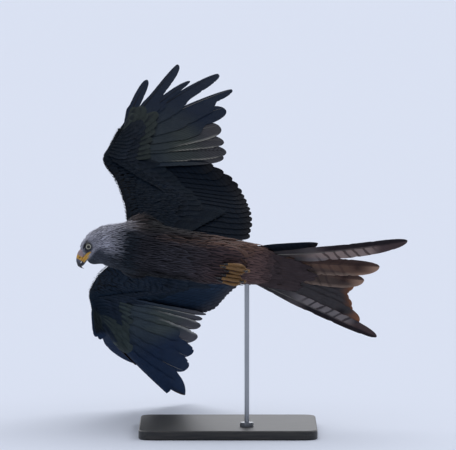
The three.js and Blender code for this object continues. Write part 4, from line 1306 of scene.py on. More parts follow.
def add_shaft(coat, sheet, k, length, radius, colours, strip):
    """The rachis: a tapering rod that stands out of both faces of the web."""
    t = np.linspace(0, 0.985, 18)
    s = t * length
    centre, up = sheet.place(k + 0 * s, s), sheet.normal(k + 0 * s, s)
    run = unit(np.gradient(centre, axis=0))
    thick = radius * (1 - 0.86 * t)[:, None]
    ring = seamed(ring_grid(centre, np.cross(run, up) * thick * 0.8, up * thick, 7))
    colour = blend(*colours, soft_step(t, 0.2, 0.9))[:, None]
    turn = np.linspace(0, 1, 8)
    vane = together(0 * turn, t[:, None], 0.0)
    bake = together(t[:, None], strip[0] + 0.01 * strip[1] * turn)
    coat.add(ring[None], vane, 0.0, (colour, colour, together(0.0, NO_STREAK, 1.0)), bake)


def add_blade(coat, blade, widths, outline, paint, strip, **finish):
    """One feather that lies on a blade of its own."""
    add_feather(coat, blade, 0.0, blade.length, widths, outline, paint, strip, **finish)


print("barbs slant by", BARB_SLANT[1], "and", BARB_SLANT[-1], "of the web's width")

# %% [markdown]
# ## Colours of the flight feathers
# From below, the hand has a pale grey-green panel at the base of its primaries, crossed by
# fine dark bars, and blackish fingers. The inner primaries end in brownish grey, and the
# secondaries are blackish. From above all of them are dark brown with faint bars.

# %% Paint of primaries and secondaries
# The colours for the underside, of fingers, panel, bars and secondaries, are painted darker and bluer than
# the feathers' own, as painted shade.
FINGER_BLACK = linear("#182539")
PANEL_PALE = linear("#434b48")
PANEL_TIP = linear("#45454a")
FRINGE_PALE = linear("#a3a29c")
BAR_DARK = linear("#0f1319")
SECONDARY_DARK = linear("#172230")
SECONDARY_TIP = linear("#2b2c31")
UPPER_DARK = linear("#2e2724")
UPPER_BAR = linear("#191719")
UPPER_EDGE = linear("#54453c")
SHAFT_PALE = linear("#8f8c85")
SHAFT_BLACK = linear("#1c1b1e")


def barred(strength):
    """The pattern of a web with bars and no streak along its shaft."""
    return together(strength, NO_STREAK, 1.0)


def primary_paint(i):
    fingered = i >= 4
    panel_end = along([1.3, 1.2, 1.05, 0.9, 0.74, 0.62, 0.55, 0.5, 0.46, 0.4], i / 9)
    panel_share = along([0.35, 0.75, 1, 1, 1, 0.85, 0.7, 0.6, 0.5, 0.3], i / 9)

    def paint(face, down, across):
        if face > 0:
            ground = blend(UPPER_DARK, UPPER_EDGE, 0.5 * np.abs(across) ** 4)
            return ground, UPPER_BAR, barred(0.5 * (1 - soft_step(down, 0.6, 0.9)))
        panel = panel_share * (1 - soft_step(down, panel_end - 0.32, panel_end))
        panel = panel * (0.45 + 0.55 * soft_step(down, 0.36, 0.58))
        ground = blend(FINGER_BLACK, PANEL_PALE, panel)
        if not fingered:
            ground = blend(ground, PANEL_TIP, soft_step(down, 0.62, 0.88))
        fringe = soft_step(-across, 0.84, 1.0) * soft_step(down, 0.45, 0.65)
        fringe = fringe * (1 - soft_step(down, 0.86, 0.95))
        ground = blend(ground, FRINGE_PALE, 0.8 * fringe * (1 <= i <= 3))
        return ground, BAR_DARK, barred((0.9 - 0.05 * i) * panel * soft_step(down, 0.3, 0.55))

    return paint


def secondary_paint(shade):
    def paint(face, down, across):
        if face > 0:
            return blend(UPPER_DARK, UPPER_EDGE, 0.6 * soft_step(down, 0.9, 1)), UPPER_BAR, barred(0.4)
        # shade scales the colours from below as painted light: darker on the left wing, brighter on the
        # right.
        ground = blend(SECONDARY_DARK, SECONDARY_TIP, soft_step(down, 0.82, 1))
        return ground * shade, BAR_DARK * shade, barred(0.45)

    return paint


print("panel and fingers in linear light:", PANEL_PALE.round(3), FINGER_BLACK.round(3))

# %% [markdown]
# A kite has ten primaries on the hand, the outer six of them fingered, and about fourteen
# secondaries on the forearm. They overlap like a roof's shingles, so each is tilted, with its
# leading side up over the feather ahead of it. The bars across them are 9 to 13 mm apart.
# The right wing is made as a left one with its own pose and then mirrored. Its colours are
# scaled brighter than the left wing's, as painted light, and the left wing's darker, as painted shade.

# %% Flight feathers of one wing
PRIMARIES = 10
FINGERS = 6
SECONDARIES = 14
SHINGLE = 1.0
SHAFT = 1.6
PRIMARY_BARS = 9.0
SECONDARY_BARS = 13.0
FLIGHT_FEATHERS = PRIMARIES + SECONDARIES


def flight_feathers(name, pose, mirror, replaces):
    coat = Plumage(name, FLIGHT_WEB, "wing_feathers", pose["tone"], mirror)
    hand, arm = hand_sheet(pose), arm_sheet(pose)
    for i in range(PRIMARIES):
        k = i / (PRIMARIES - 1)
        strip = (i / FLIGHT_FEATHERS, 1 / FLIGHT_FEATHERS)
        length = pose["primary_lengths"][i]
        sheet = TurnedSheet(hand, length, pose["primary_turn"][i], pose["primary_bend"][i])
        j = i - (PRIMARIES - FINGERS)
        cuts = (pose[key][j] for key in ("finger_notch", "finger_lead_cut", "finger_trail_cut"))
        widths = (pose["primary_lead"][i], pose["primary_trail"][i])
        add_feather(
            coat, sheet, k, length, widths, finger(*cuts) if j >= 0 else rounded, primary_paint(i), strip,
            interval=1 / (PRIMARIES - 1), step=SHINGLE, rows=48, pitch=PRIMARY_BARS,
            outermost=i == PRIMARIES - 1,
        )
        # The shafts of the inner primaries are pale, partly their own colour and partly a painted highlight
        # where they catch the light.
        pale = SHAFT_PALE if 1 < i < 6 else SHAFT_BLACK
        add_shaft(coat, sheet, k, length, SHAFT, (SHAFT_BLACK, pale), strip)
    for i in range(SECONDARIES):
        k = i / (SECONDARIES - 1)
        strip = ((PRIMARIES + i) / FLIGHT_FEATHERS, 1 / FLIGHT_FEATHERS)
        length = arm.length_at(k)
        add_feather(
            coat, arm, k, length, (15, 28), rounded, secondary_paint(pose["arm_painted_light"]), strip,
            interval=1 / (SECONDARIES - 1), step=SHINGLE, rows=30, pitch=SECONDARY_BARS,
        )
        add_shaft(coat, arm, k, length, SHAFT, (SHAFT_BLACK, SHAFT_BLACK), strip)
    return coat.make(replaces)


flight_feathers("flight_feathers_left", LEFT_WING, False, ("wing_left_arm", "wing_left_hand"))
flight_feathers("flight_feathers_right", RIGHT_WING, True, ("wing_right_arm", "wing_right_hand"))

# %% [markdown]
# ## Wing coverts
# Coverts roof the quills in rows on both sides of the wing. The greater coverts lie one
# over each quill, two rows of median coverts over their bases, and many rows of small lesser
# coverts clothe the flesh up to the leading edge. Below they are blackish, and grey-olive over
# part of the hand. Above they are brown with broad tawny edges, which make the pale band of a
# kite's back.

# %% Paint of the coverts
# The coverts' colours from below are painted darker and bluer than their own, as painted shade.
GREATER_BELOW = linear("#101a26")
GREATER_EDGE = linear("#19222c")
HAND_OLIVE = linear("#2d3535")
LESSER_BELOW = linear("#18212d")
LESSER_CENTRE = linear("#0c1722")
GREATER_ABOVE = linear("#5b4a3e")
LESSER_ABOVE = linear("#8a6647")
CENTRE_ABOVE = linear("#2f2622")
COVERT_THICK = 0.3


def covert_paint(ground_below, mark_below, streak_below, ground_above, streak_above):
    def paint(face, down, across):
        ground, mark = (ground_below, mark_below) if face < 0 else (ground_above, CENTRE_ABOVE)
        streak = streak_below if face < 0 else streak_above
        tint = dice.normal(1, 0.08)
        return ground * tint, mark * tint, together(0.0, streak, 0.9)

    return paint


HAND_PAINT = covert_paint(HAND_OLIVE, linear("#1c242a"), 0.6, GREATER_ABOVE, 0.75)
GREATER_PAINT = covert_paint(GREATER_EDGE, GREATER_BELOW, 0.85, GREATER_ABOVE, 0.75)
MEDIAN_PAINT = covert_paint(LESSER_BELOW, LESSER_CENTRE, 0.7, LESSER_ABOVE, 0.6)


def sheet_coverts(coat, sheet, count, face, tier, olive):
    """A row of coverts over the quills. tier 0 is the greater row, 1 and 2 the median ones."""
    on_hand = sheet.leadward > 0
    share = ((0.36, 0.34) if on_hand else (0.44, 0.42))[face < 0]
    reach = share * (1, 0.66, 0.42)[tier]
    clear = (4.0 if face > 0 else 4.6) + 1.1 * tier
    for i in range(count):
        k = (i + 0.5 * (tier != 1)) / count
        pale = on_hand and (tier == 0 or olive[0] < k < olive[1])
        dark = GREATER_PAINT if tier == 0 else MEDIAN_PAINT
        length = sheet.length_at(k) * reach * dice.uniform(0.95, 1.05)
        add_feather(
            coat, sheet, k, length, (11, 15), rounded, HAND_PAINT if pale else dark, (i / count, 1 / count),
            start=8.0 - 5 * tier, interval=1 / count, step=SHINGLE, height=face * clear, rows=14,
            columns=4, wear=0.06, thick=COVERT_THICK, camber=0.5 * face, faces=(face,),
        )


print("coverts over the quills of a wing:", 6 * FLIGHT_FEATHERS)

# %% [markdown]
# The lesser coverts sit on the wing's flesh, row behind row from its rear edge to the front.
# Each lies along the direction of the quills at its place, so that direction is first worked
# out in steps along the wing and across it.

# %% Lesser coverts
LESSER_COUNTS = [44] * 8 + [46] * 5
LESSER_SHARES = (0.02, 0.11, 0.2, 0.29, 0.38, 0.47, 0.56, 0.65, 0.74, 0.82, 0.89, 0.94, 0.975)
HAND_START = 0.6
print("lesser coverts on each side of a wing:", sum(LESSER_COUNTS))


def lesser_coverts(coat, pose, face):
    """Small feathers over the flesh of the wing, row behind row."""
    hand, arm = hand_sheet(pose), arm_sheet(pose)
    rows, columns = 6, 5
    t_list, share_list = [], []
    for j, (share, count) in enumerate(zip(LESSER_SHARES, LESSER_COUNTS)):
        t_row = (np.arange(count) + 0.5 * (j % 2)) / count * 0.99 + 0.005
        t_list.append(t_row + dice.normal(0, 0.003, count))
        share_list.append(share + dice.normal(0, 0.012, count))
    t0, share0 = np.concatenate(t_list), np.concatenate(share_list)
    count = len(t0)
    k_hand = np.clip((t0 - HAND_START) / (1 - HAND_START), 0, 1)
    k_arm = np.clip((HAND_START - t0) / HAND_START, 0, 1)
    aim = blend(arm.aim(k_arm), hand.aim(k_hand), soft_step(t0, HAND_START - 0.08, HAND_START + 0.1))

    def dressed(t, share, lift):
        inside = np.clip(share, 0, 1)
        lens_rise = along(CORE_THICKNESS, t) * np.sqrt(inside * (1 - inside))
        skirt = 5.2 * (1 - soft_step(share, 0.1, 0.6))
        arch = along(CORE_ARCH, t) * 4 * inside * (1 - inside)
        return core_place(pose, t, share, face * (np.hypot(lens_rise, skirt) + lift) + arch)

    small = 0.01
    flat = 0 * t0
    step_t = (dressed(t0 + small, share0, flat) - dressed(t0 - small, share0, flat)) / (2 * small)
    _, chord, _ = core_frame(pose, t0)
    tt, ts, ss = ((a * b).sum(-1) for a, b in ((step_t, step_t), (step_t, chord), (chord, chord)))
    at, as_ = (aim * step_t).sum(-1), (aim * chord).sum(-1)
    det = tt * ss - ts * ts
    run_t, run_share = (at * ss - as_ * ts) / det, (as_ * tt - at * ts) / det
    length = np.interp(share0, [0, 0.6, 1], [23, 17, 6]) * np.interp(t0, [0, 0.6, 1], [1.1, 1, 0.75])
    length = length * dice.uniform(0.88, 1.12, count)
    half = length * 0.3
    t = np.linspace(0, 1, rows)
    x = np.linspace(-1, 1, columns)
    ragged = 1 - 0.14 * dice.random((count, rows, columns)) * (t > 0.5)[None, :, None]
    down = (length[:, None, None] * t[None, :, None]) * ragged
    side = (half[:, None] * leaf(t))[..., None] * x * ragged
    side_t = side / np.linalg.norm(step_t, axis=-1)[:, None, None]
    tt_grid = t0[:, None, None] + run_t[:, None, None] * down + side_t
    share_grid = share0[:, None, None] + run_share[:, None, None] * down
    lift = 0.3 + 2.0 * t[None, :, None] - 0.6 * x**2 + dice.uniform(0, 0.7, (count, 1, 1))
    lift = lift * (1 - 0.7 * soft_step(share0, 0.75, 0.95))[:, None, None]
    points = dressed(tt_grid, share_grid, lift)
    tint = dice.normal(1, 0.1, (count, 1, 1, 1))
    if face < 0:
        ground, mark, streak = LESSER_BELOW, LESSER_CENTRE, 0.62
    else:
        ground, mark, streak = LESSER_ABOVE, CENTRE_ABOVE, 0.6
    carpal = np.exp(-(((t0 - 0.62) / 0.09) ** 2)) * (face < 0)
    ground = blend(ground, LESSER_CENTRE, 0.8 * carpal)
    ground = blend(ground, LESSER_CENTRE, soft_step(share0, 0.68, 0.82) * (face > 0))
    begin, end = (HAND_START + (1 - HAND_START) * k for k in pose["olive"])
    olive = soft_step(t0, begin - 0.05, begin + 0.03) * (1 - soft_step(t0, end, end + 0.04))
    ground = blend(ground, HAND_OLIVE, 0.8 * olive * (face < 0))[:, None, None] * tint
    mark = blend(mark, 0.5 * HAND_OLIVE, 0.8 * olive * (face < 0))[:, None, None] * tint
    vane, patch = tuft_maps(t, x)
    bake = together(t0, 0.25 + 0.5 * (face < 0) + 0.24 * share0)[:, None, None] + patch
    coat.add(points, vane, down, (ground, mark, together(0.0, streak, 0.86)), bake)


# %% [markdown]
# The bastard wing, or alula, is three small stiff feathers on the bird's thumb, along the front
# of the hand. In the armpit long soft axillary feathers close the gap between wing and body.


# %% Alula and axillary feathers
def alula_feathers(coat, pose):
    """The bastard wing: three small stiff feathers along the front of the hand."""
    wrist_edge, hand_edge, tip_edge = np.array(pose["hand_edge"], float)
    outward = unit(tip_edge - wrist_edge)
    up = hand_sheet(pose).normal(np.array(0.8), np.array(60.0))
    blades = []
    for i, length in enumerate(pose["alula_lengths"]):
        thumb = wrist_edge + 0.3 * (hand_edge - wrist_edge)
        start = thumb + (-10 - 2 * i, 0, 0) + up * (1.5 + 1.4 * i)
        tip = start + outward * length + (pose["alula_turns"][i], 0, 0) + up * (4 + 1.2 * i)
        blades.append(Blade(start, tip, up))
    if "outer_covert" in pose:
        # This one lies along the last primary and bulges out ahead of it.
        hand, last = hand_sheet(pose), np.array(1.0)
        begin, end, sweep = pose["outer_covert"]
        place = [hand.place(last, np.array(s)) for s in (begin, end)]
        ahead = [np.cross(hand.aim(last), hand.normal(last, np.array(s))) for s in (begin, end)]
        level = hand.normal(last, np.array(80.0))
        blades.append(Blade(place[0] + 6 * ahead[0], place[1] + 3 * ahead[1], level, sweep))
    for i, blade in enumerate(blades):
        widths = (7, 24 if i == 3 else 14)
        add_blade(coat, blade, widths, rounded, primary_paint(9), (i / 4, 0.24), rows=22)


def axillary_feathers(coat, pose):
    """Long soft feathers in the armpit, which close the gap between wing and body."""
    arm = arm_sheet(pose)
    for face in (1, -1):
        for i in range(11):
            share = i / 10
            k = np.array(1.06 - 0.3 * share)
            place = (np.array(0.04 + 0.2 * share), np.array(0.35), np.array(face * 7.0))
            start = core_place(pose, *place)
            tip = arm.place(k, np.array(96.0 + 34 * share)) + arm.normal(k, np.array(90.0)) * face * 5
            blade = Blade(start, tip, arm.normal(k, np.array(60.0)), 0.0, 0.05 * face)
            add_blade(
                coat, blade, (11, 11), rounded, GREATER_PAINT, (i / 11, 0.08), rows=16, columns=4,
                thick=COVERT_THICK, camber=0.6 * face, faces=(face,),
            )


def wing_coverts(name, pose, mirror):
    coat = Plumage(name, COVERT_WEB, "wing_feathers", pose["tone"], mirror)
    hand, arm = hand_sheet(pose), arm_sheet(pose)
    for face in (1, -1):
        for tier in (0, 1, 2):
            sheet_coverts(coat, arm, SECONDARIES, face, tier, pose["olive"])
            sheet_coverts(coat, hand, PRIMARIES, face, tier, pose["olive"])
        lesser_coverts(coat, pose, face)
    alula_feathers(coat, pose)
    axillary_feathers(coat, pose)
    return coat.make()


wing_coverts("wing_coverts_left", LEFT_WING, False)
wing_coverts("wing_coverts_right", RIGHT_WING, True)

# %% [markdown]
# ## The tail
# The forked tail is the mark of the species. Its six pairs of feathers fan out in a tilted
# plane. The outer pair is the longest: its outer web is dark and its inner web pale grey with
# about eight fine bars. The others are rusty, and glow where the sky shines through them.

# %% Paint of the tail
TAIL_ROOT = np.array([-96.0, 2.0, 8.0])
TAIL_STEP = 1.0
TAIL_BARS = 19.0
LEFT_TAIL = {
    "fan": [-6.6, -5.2, -3.2, 1, 7.8, 17.5],
    "length": [236, 238, 242, 258, 283, 336],
    "curve": -0.11,
    "outer_widths": (12.5, 17.5),
}
RIGHT_TAIL = {
    "fan": [-8.2, -9.8, -11.8, -14, -16.6, -18.8],
    "length": [236, 242, 252, 258, 280, 326],
    "curve": 0.0,
    "outer_widths": (10.5, 14.5),
}
OUTER_DARK = linear("#24242b")
OUTER_PALE = linear("#9a9495")
OUTER_TIP = linear("#45424a")
TAIL_GREY = linear("#535153")
TAIL_RUST = linear("#62554f")
TAIL_BUFF = linear("#b39c8c")
TIP_RUST = linear("#8d644c")
TAIL_MARK = linear("#262228")
UPPER_RUST = linear("#9c5630")


def tail_paint(i, side):
    outer = i == 5
    rust_with_pale_edges = i >= 3 and side > 0

    def paint(face, down, across):
        ahead = soft_step(across, 0.0, 0.2)
        # A blade for the right side is turned over, so its upper face has the other sign.
        if face * side > 0:
            ground = blend(UPPER_RUST, OUTER_DARK, ahead * (0.75 if outer else 0.3))
            strength = 0.3 * (1 - ahead)
        elif outer:
            ground = blend(TAIL_GREY, OUTER_PALE, soft_step(down, 0.28, 0.46))
            ground = blend(ground, OUTER_TIP, soft_step(down, 0.74, 0.84))
            ground = blend(ground, OUTER_DARK, ahead * (0.3 + 0.7 * soft_step(down, 0.3, 0.5)))
            middle = soft_step(down, 0.38, 0.46) * (1 - soft_step(down, 0.76, 0.82))
            strength = 0.75 * (1 - ahead) * middle
        else:
            middle = TAIL_RUST if rust_with_pale_edges else TAIL_GREY
            # The tips, and the trailing fringes of the rusty feathers, are painted paler, as a painted glow
            # where light shines through the thin single web.
            wear_and_glow = soft_step(down, 0.87, 1.0) * (1 - 0.5 * soft_step(across, 0.1, 0.5))
            fringe = soft_step(-across, 0.72, 0.95) * soft_step(down, 0.35, 0.6) * rust_with_pale_edges
            ground = blend(middle, TAIL_GREY, 0.5 * (1 - soft_step(down, 0.2, 0.6)))
            tip = TAIL_BUFF if rust_with_pale_edges else TIP_RUST
            ground = blend(ground, tip, np.maximum(wear_and_glow, 0.8 * fringe))
            ground = blend(ground, TAIL_MARK, 0.75 * ahead)
            spot = np.exp(-(((down - 0.83) / 0.04) ** 2))
            ground = blend(ground, TAIL_MARK, 0.85 * spot * (1 - soft_step(np.abs(across), 0.3, 0.75)))
            strength = 0.35 * soft_step(down, 0.35, 0.45) * (1 - soft_step(down, 0.72, 0.8)) * rust_with_pale_edges
        return ground, TAIL_MARK, barred(strength)

    return paint


print("feathers in each half of the tail:", len(LEFT_TAIL["fan"]))

# %% [markdown]
# The feathers lie like a hand of cards, the middle pair on top and each next one a millimetre
# lower. Only the outermost on the left is curved. On that side one more feather is still
# growing: it is shorter and darker than the rest.


# %% Tail feathers
def tail_blade(degrees, length, drop, side, sweep=0.0, lift=0.0):
    angle = math.radians(degrees)
    level = TAIL_ROOT - TAIL_NORMAL * drop
    tip = level + (TAIL_BACK * math.cos(angle) + TAIL_LEFT * math.sin(angle)) * length
    start = level + TAIL_BACK * (0.09 * length) + TAIL_LEFT * (1.3 * degrees)
    return Blade(start, tip, TAIL_NORMAL * side, sweep, lift)


def tail_feathers():
    coat = Plumage("tail_feathers", TAIL_WEB, "tail_feathers")
    for side, half_tail in ((1, LEFT_TAIL), (-1, RIGHT_TAIL)):
        for i, (degrees, length) in enumerate(zip(half_tail["fan"], half_tail["length"])):
            drop = TAIL_STEP * (2 * i + (side < 0))
            sweep = half_tail["curve"] if i == 5 else 0.0
            blade = tail_blade(degrees, length, drop, side, sweep)
            strip = ((i + 6 * (side < 0)) / 13, 1 / 13)
            widths = half_tail["outer_widths"] if i == 5 else (18 - 1.2 * i, 24)
            add_blade(
                coat, blade, widths, rounded, tail_paint(i, side), strip, rows=44, columns=7,
                wear=0.07, pitch=TAIL_BARS,
            )
            shaft = (SHAFT_PALE, TAIL_MARK) if i == 5 else (TAIL_RUST, TAIL_MARK)
            add_shaft(coat, blade, 0.0, blade.length, 1.3, shaft, strip)
    growing = tail_blade(22.2, 166, -1, 1)
    add_blade(coat, growing, (5, 15), rounded, secondary_paint(1.0), (12 / 13, 1 / 13), rows=24)
    return coat.make(("tail",))


tail_feathers()

# %% [markdown]
# Coverts close over the roots of the tail on both sides. Those below are long and pointed,
# and their lengths are staggered, so the coat of the vent runs out over the tail with no edge.

# %% Tail coverts
UPPERTAIL = linear("#8a5233")


def tail_coverts():
    coat = Plumage("tail_coverts", SOFT_WEB, "tail_feathers")
    paint = covert_paint(UNDERTAIL, VENT_SHAFT, 0.3, UPPERTAIL, 0.3)
    for face, reach, drop in ((1, 118, -3.2), (-1, 166, 14.0)):
        for tier in range(3):
            count = 11
            for j in range(count):
                offset = (j - (count - 1) / 2 + 0.5 * (tier % 2)) * 0.62
                length = (reach - 11 * abs(offset)) * (1 - 0.12 * tier) * dice.uniform(0.84, 1.08)
                level = drop - face * (0.5 * tier + 0.2 * (j % 2))
                blade = tail_blade(-2 + 4.6 * offset, length, level, 1)
                add_blade(
                    coat, blade, (11, 11), pointed, paint, (j / count, 1 / count), rows=14, columns=5,
                    wear=0.07, thick=COVERT_THICK, camber=0.8 * face, faces=(face,),
                )
    return coat.make()


tail_coverts()

# %% [markdown]
# ## The bill
# The bill is bone under a sheath of horn: blue-grey at the base, black at the hook, hard and
# half glossy. Its root is wrapped in the cere, a bare waxy yellow skin that holds the
# nostril, and the same yellow skin lines the gape back to a corner below the eye. Both
# halves are lofted through the sections that their solids have, with more of them between.
# Sculpting could shape them too, but would soon leave those solids.

# %% Horn and cere
# Horn is laid down in layers thinner than a hair. Their grain is drawn 1.4 mm wide to show.
HORN_GRAIN = 1.4286


def horn_material(name, stops):
    """Waxy skin turning into glossy horn along the bill. stops are (mm forward, hex)."""

    def draw(node):
        low, high = stops[0][0], stops[-1][0]
        forward = node("Attribute", output="Fac", attribute_name="forward")
        share = node("MapRange", {"Value": forward, "From Min": low, "From Max": high})
        ramp = node("ValToRGB", {"Fac": share}, "Color")
        set_stops(ramp, stops, low, high)
        place = node("TexCoord", output="Object")
        grain = node("TexNoise", {"Vector": place, "Scale": per_metre(HORN_GRAIN), "Detail": 4.0}, "Fac")
        pit = node("Attribute", output="Fac", attribute_name="pit")
        # The nostril's pit is painted near black, as painted shade inside the opening.
        nostril_shaded = node("Mix", {0: pit, 6: ramp, 7: rgba("#1a1412")}, 2, data_type="RGBA")
        fleck = node("Math", {0: grain, 1: 0.5, 2: 0.75}, operation="MULTIPLY_ADD")
        colour = node("VectorMath", {0: nostril_shaded, "Scale": fleck}, operation="SCALE")
        relief = node("Bump", {"Height": grain, "Strength": 0.35, "Distance": 0.0002})
        flesh_glow = {"Subsurface Weight": 0.05, "Subsurface Scale": 0.001}
        finish = {"Base Color": colour, "Roughness": 0.42, "IOR": 1.54, "Normal": relief}
        return node("BsdfPrincipled", {**finish, **flesh_glow})

    return new_material(name, draw)


CERE_YELLOW = [(25.2, "#cf9a30"), (30.8, "#c9983a")]
HORN_BLACK = [(32.2, "#5c5c69"), (37, "#363945"), (41, "#17171b")]
UPPER_STOPS = [(12, "#9a8789"), (23.6, "#a18d90"), *CERE_YELLOW, *HORN_BLACK]
LOWER_STOPS = [(12, "#c19a3c"), (22, "#a88f45"), (28, "#4d4f5a"), (38, "#202127")]
UPPER_HORN = horn_material("horn_and_cere", UPPER_STOPS)
LOWER_HORN = horn_material("horn_lower_bill", LOWER_STOPS)
print("horns of the bill:", UPPER_HORN.name, LOWER_HORN.name)

# %% [markdown]
# Each half of the bill is lofted through its sections, from the forehead to the tip, and leans
# over more and more into the hook. Where the cere ends, its skin stands half a millimetre
# proud of the horn, and the nostril is a shallow oval pit in it.

# %% Sheaths of the bill
UPPER_BILL = np.array(
    [
        # forward, top, bottom, half width, lean in degrees
        (12, 7.5, -5.2, 7.6, 0),
        (19, 9.4, -5.2, 7.8, 0),
        (25, 8.4, -5.5, 7, 4),
        (30.5, 7, -5.6, 5.6, 14),
        (35, 4.6, -5.6, 4.6, 30),
        (38.6, 1.4, -5.6, 3.5, 48),
        (40.4, -0.5, -7.9, 2.6, 66),
        (42.3, -6, -10.4, 1.9, 80),
        (43.3, -11, -12.6, 1.3, 92),
        (43.4, -15.4, -15.8, 0.6, 108),
    ],
    float,
)
LOWER_BILL = np.array(
    [
        (12, -6, -12.6, 6.6, 0),
        (19, -6, -13, 6.2, 0),
        (26, -6, -13.2, 5.2, 0),
        (33, -5.8, -12.8, 4.2, 0),
        (38, -5.6, -11.6, 3.2, 0),
        (40.6, -6.6, -9.8, 1.6, 0),
    ],
    float,
)
CERE_END = 31.5
CERE_MIDDLE = 28.5


def bill_piece(name, profile, stations, material, slot, replaces, nostrils):
    t = np.linspace(0, 1, stations)
    forward, top, bottom, half, lean = np.moveaxis(curve(profile, t, 0), -1, 0)
    tip = np.radians(lean)
    angle = np.linspace(0, 2 * math.pi, 33)[None, :]
    waxy = 0.5 * soft_step(forward, 19, 22) * (1 - soft_step(forward, CERE_END - 1.2, CERE_END))
    tall = (top - bottom)[:, None] / 2 + 0.3 * waxy[:, None]
    narrow = 1 - 0.22 * np.maximum(np.sin(angle), 0) ** 2
    side = (half[:, None] + waxy[:, None]) * np.cos(angle) * narrow
    lift = tall * np.sin(angle)
    ahead = forward[:, None] + np.sin(tip)[:, None] * lift
    height = ((top + bottom) / 2)[:, None] + np.cos(tip)[:, None] * lift
    pit = np.zeros_like(side)
    if nostrils:
        oval = np.hypot((ahead - 27.2) / 2.0, (height - 2.8) / 1.5)
        pit = (1 - soft_step(oval, 0.5, 1.15)) * (np.abs(side) > 4)
        side = side * (1 - 0.2 * pit)
    points = on_head(ahead, side, height)
    closing = points[-1:].mean(1, keepdims=True) + 0 * points[-1:]
    points = np.concatenate([points, closing])
    values = {"forward": ahead + 0 * side, "pit": pit}
    values = {key: np.concatenate([data, data[-1:]]).ravel() for key, data in values.items()}
    return grid_piece(name, points[None], material, slot, values, replaces=replaces)


bill_piece("bill_upper_sheath", UPPER_BILL, 56, UPPER_HORN, "bill_upper_horn", ("bill_upper",), True)
bill_piece("bill_lower_sheath", LOWER_BILL, 30, LOWER_HORN, "bill_lower_horn", ("bill_lower",), False)


# %% [markdown]
# The gape is the soft, swollen edge of the mouth. It is made of four bent tubes, one for each
# side of each half of the bill, in the same yellow skin as the middle of the cere.


# %% Gape
def tube_points(knots, radii_a, radii_b, outward, stations, sides):
    """Rings along a curve, flattened one way: radii_a lie outward and radii_b across."""
    t = np.linspace(0, 1, stations)
    centre = curve(knots, t)
    run = unit(np.gradient(centre, axis=0))
    flat = unit(outward - (outward * run).sum(-1, keepdims=True) * run)
    across = np.cross(run, flat)
    wide, tall = flat * along(radii_a, t)[:, None], across * along(radii_b, t)[:, None]
    return seamed(ring_grid(centre, wide, tall, sides))


def gape():
    tubes = []
    for side in (1, -1):
        for drop in (0.0, 3.7):
            rim = [
                on_head(32, 4.2 * side, -4.4 - drop),
                on_head(22, 8.0 * side, -5.2 - drop),
                on_head(13, 11.8 * side, -7 - drop),
                on_head(7.6, 14.8 * side, -9.6 - 0.8 * drop),
            ]
            radii = ([1.0, 2.2, 2.4, 1.6], [1.3, 2.5, 2.7, 1.8])
            tubes.append(tube_points(rim, *radii, head_direction(0.35, side, 0), 20, 12))
    grids = np.stack(tubes)
    flat = np.zeros(grids[..., 0].size)
    values = {"forward": flat + CERE_MIDDLE, "pit": flat}
    grid_piece("gape_rim", grids, UPPER_HORN, "bill_upper_horn", values)


gape()

# %% [markdown]
# ## The eyes
# A grown kite's iris is pale straw, almost white in this light, round a large black pupil,
# and the clear wet cornea over it catches the light. A clear shell of its own wouldn't show
# at this size, so one ball with a small bulge in front carries both, under a glossy coat.
# It sits deep under a bony brow, ringed by dark, dull, finely wrinkled lids.

# %% Eyes and lids
# The wrinkles of the lids are 0.7 mm apart.
LID_WRINKLE = 0.6667


def wet_iris(node):
    radius = node("Attribute", output="Fac", attribute_name="radius")
    ramp = node("ValToRGB", {"Fac": radius}, "Color")
    pupil = [(0.0, "#050506"), (0.27, "#050506")]
    iris = [(0.3, "#8f8b78"), (0.4, "#e3e0cf"), (0.52, "#c9c5ab")]
    set_stops(ramp, [*pupil, *iris, (0.58, "#16130f")])
    cornea = {"Roughness": 0.12, "IOR": 1.38, "Coat Weight": 0.35, "Coat Roughness": 0.02}
    return node("BsdfPrincipled", {"Base Color": ramp, **cornea})


def lid_skin(node):
    place = node("TexCoord", output="Object")
    wrinkle = node("TexVoronoi", {"Vector": place, "Scale": per_metre(LID_WRINKLE)}, "Distance")
    tone = node("MapRange", {"Value": wrinkle, "To Min": 0.012, "To Max": 0.035})
    relief = node("Bump", {"Height": wrinkle, "Strength": 0.6, "Distance": 0.0002})
    colour = node("CombineColor", {0: tone, 1: tone, 2: tone})
    return node("BsdfPrincipled", {"Base Color": colour, "Roughness": 0.5, "Normal": relief})


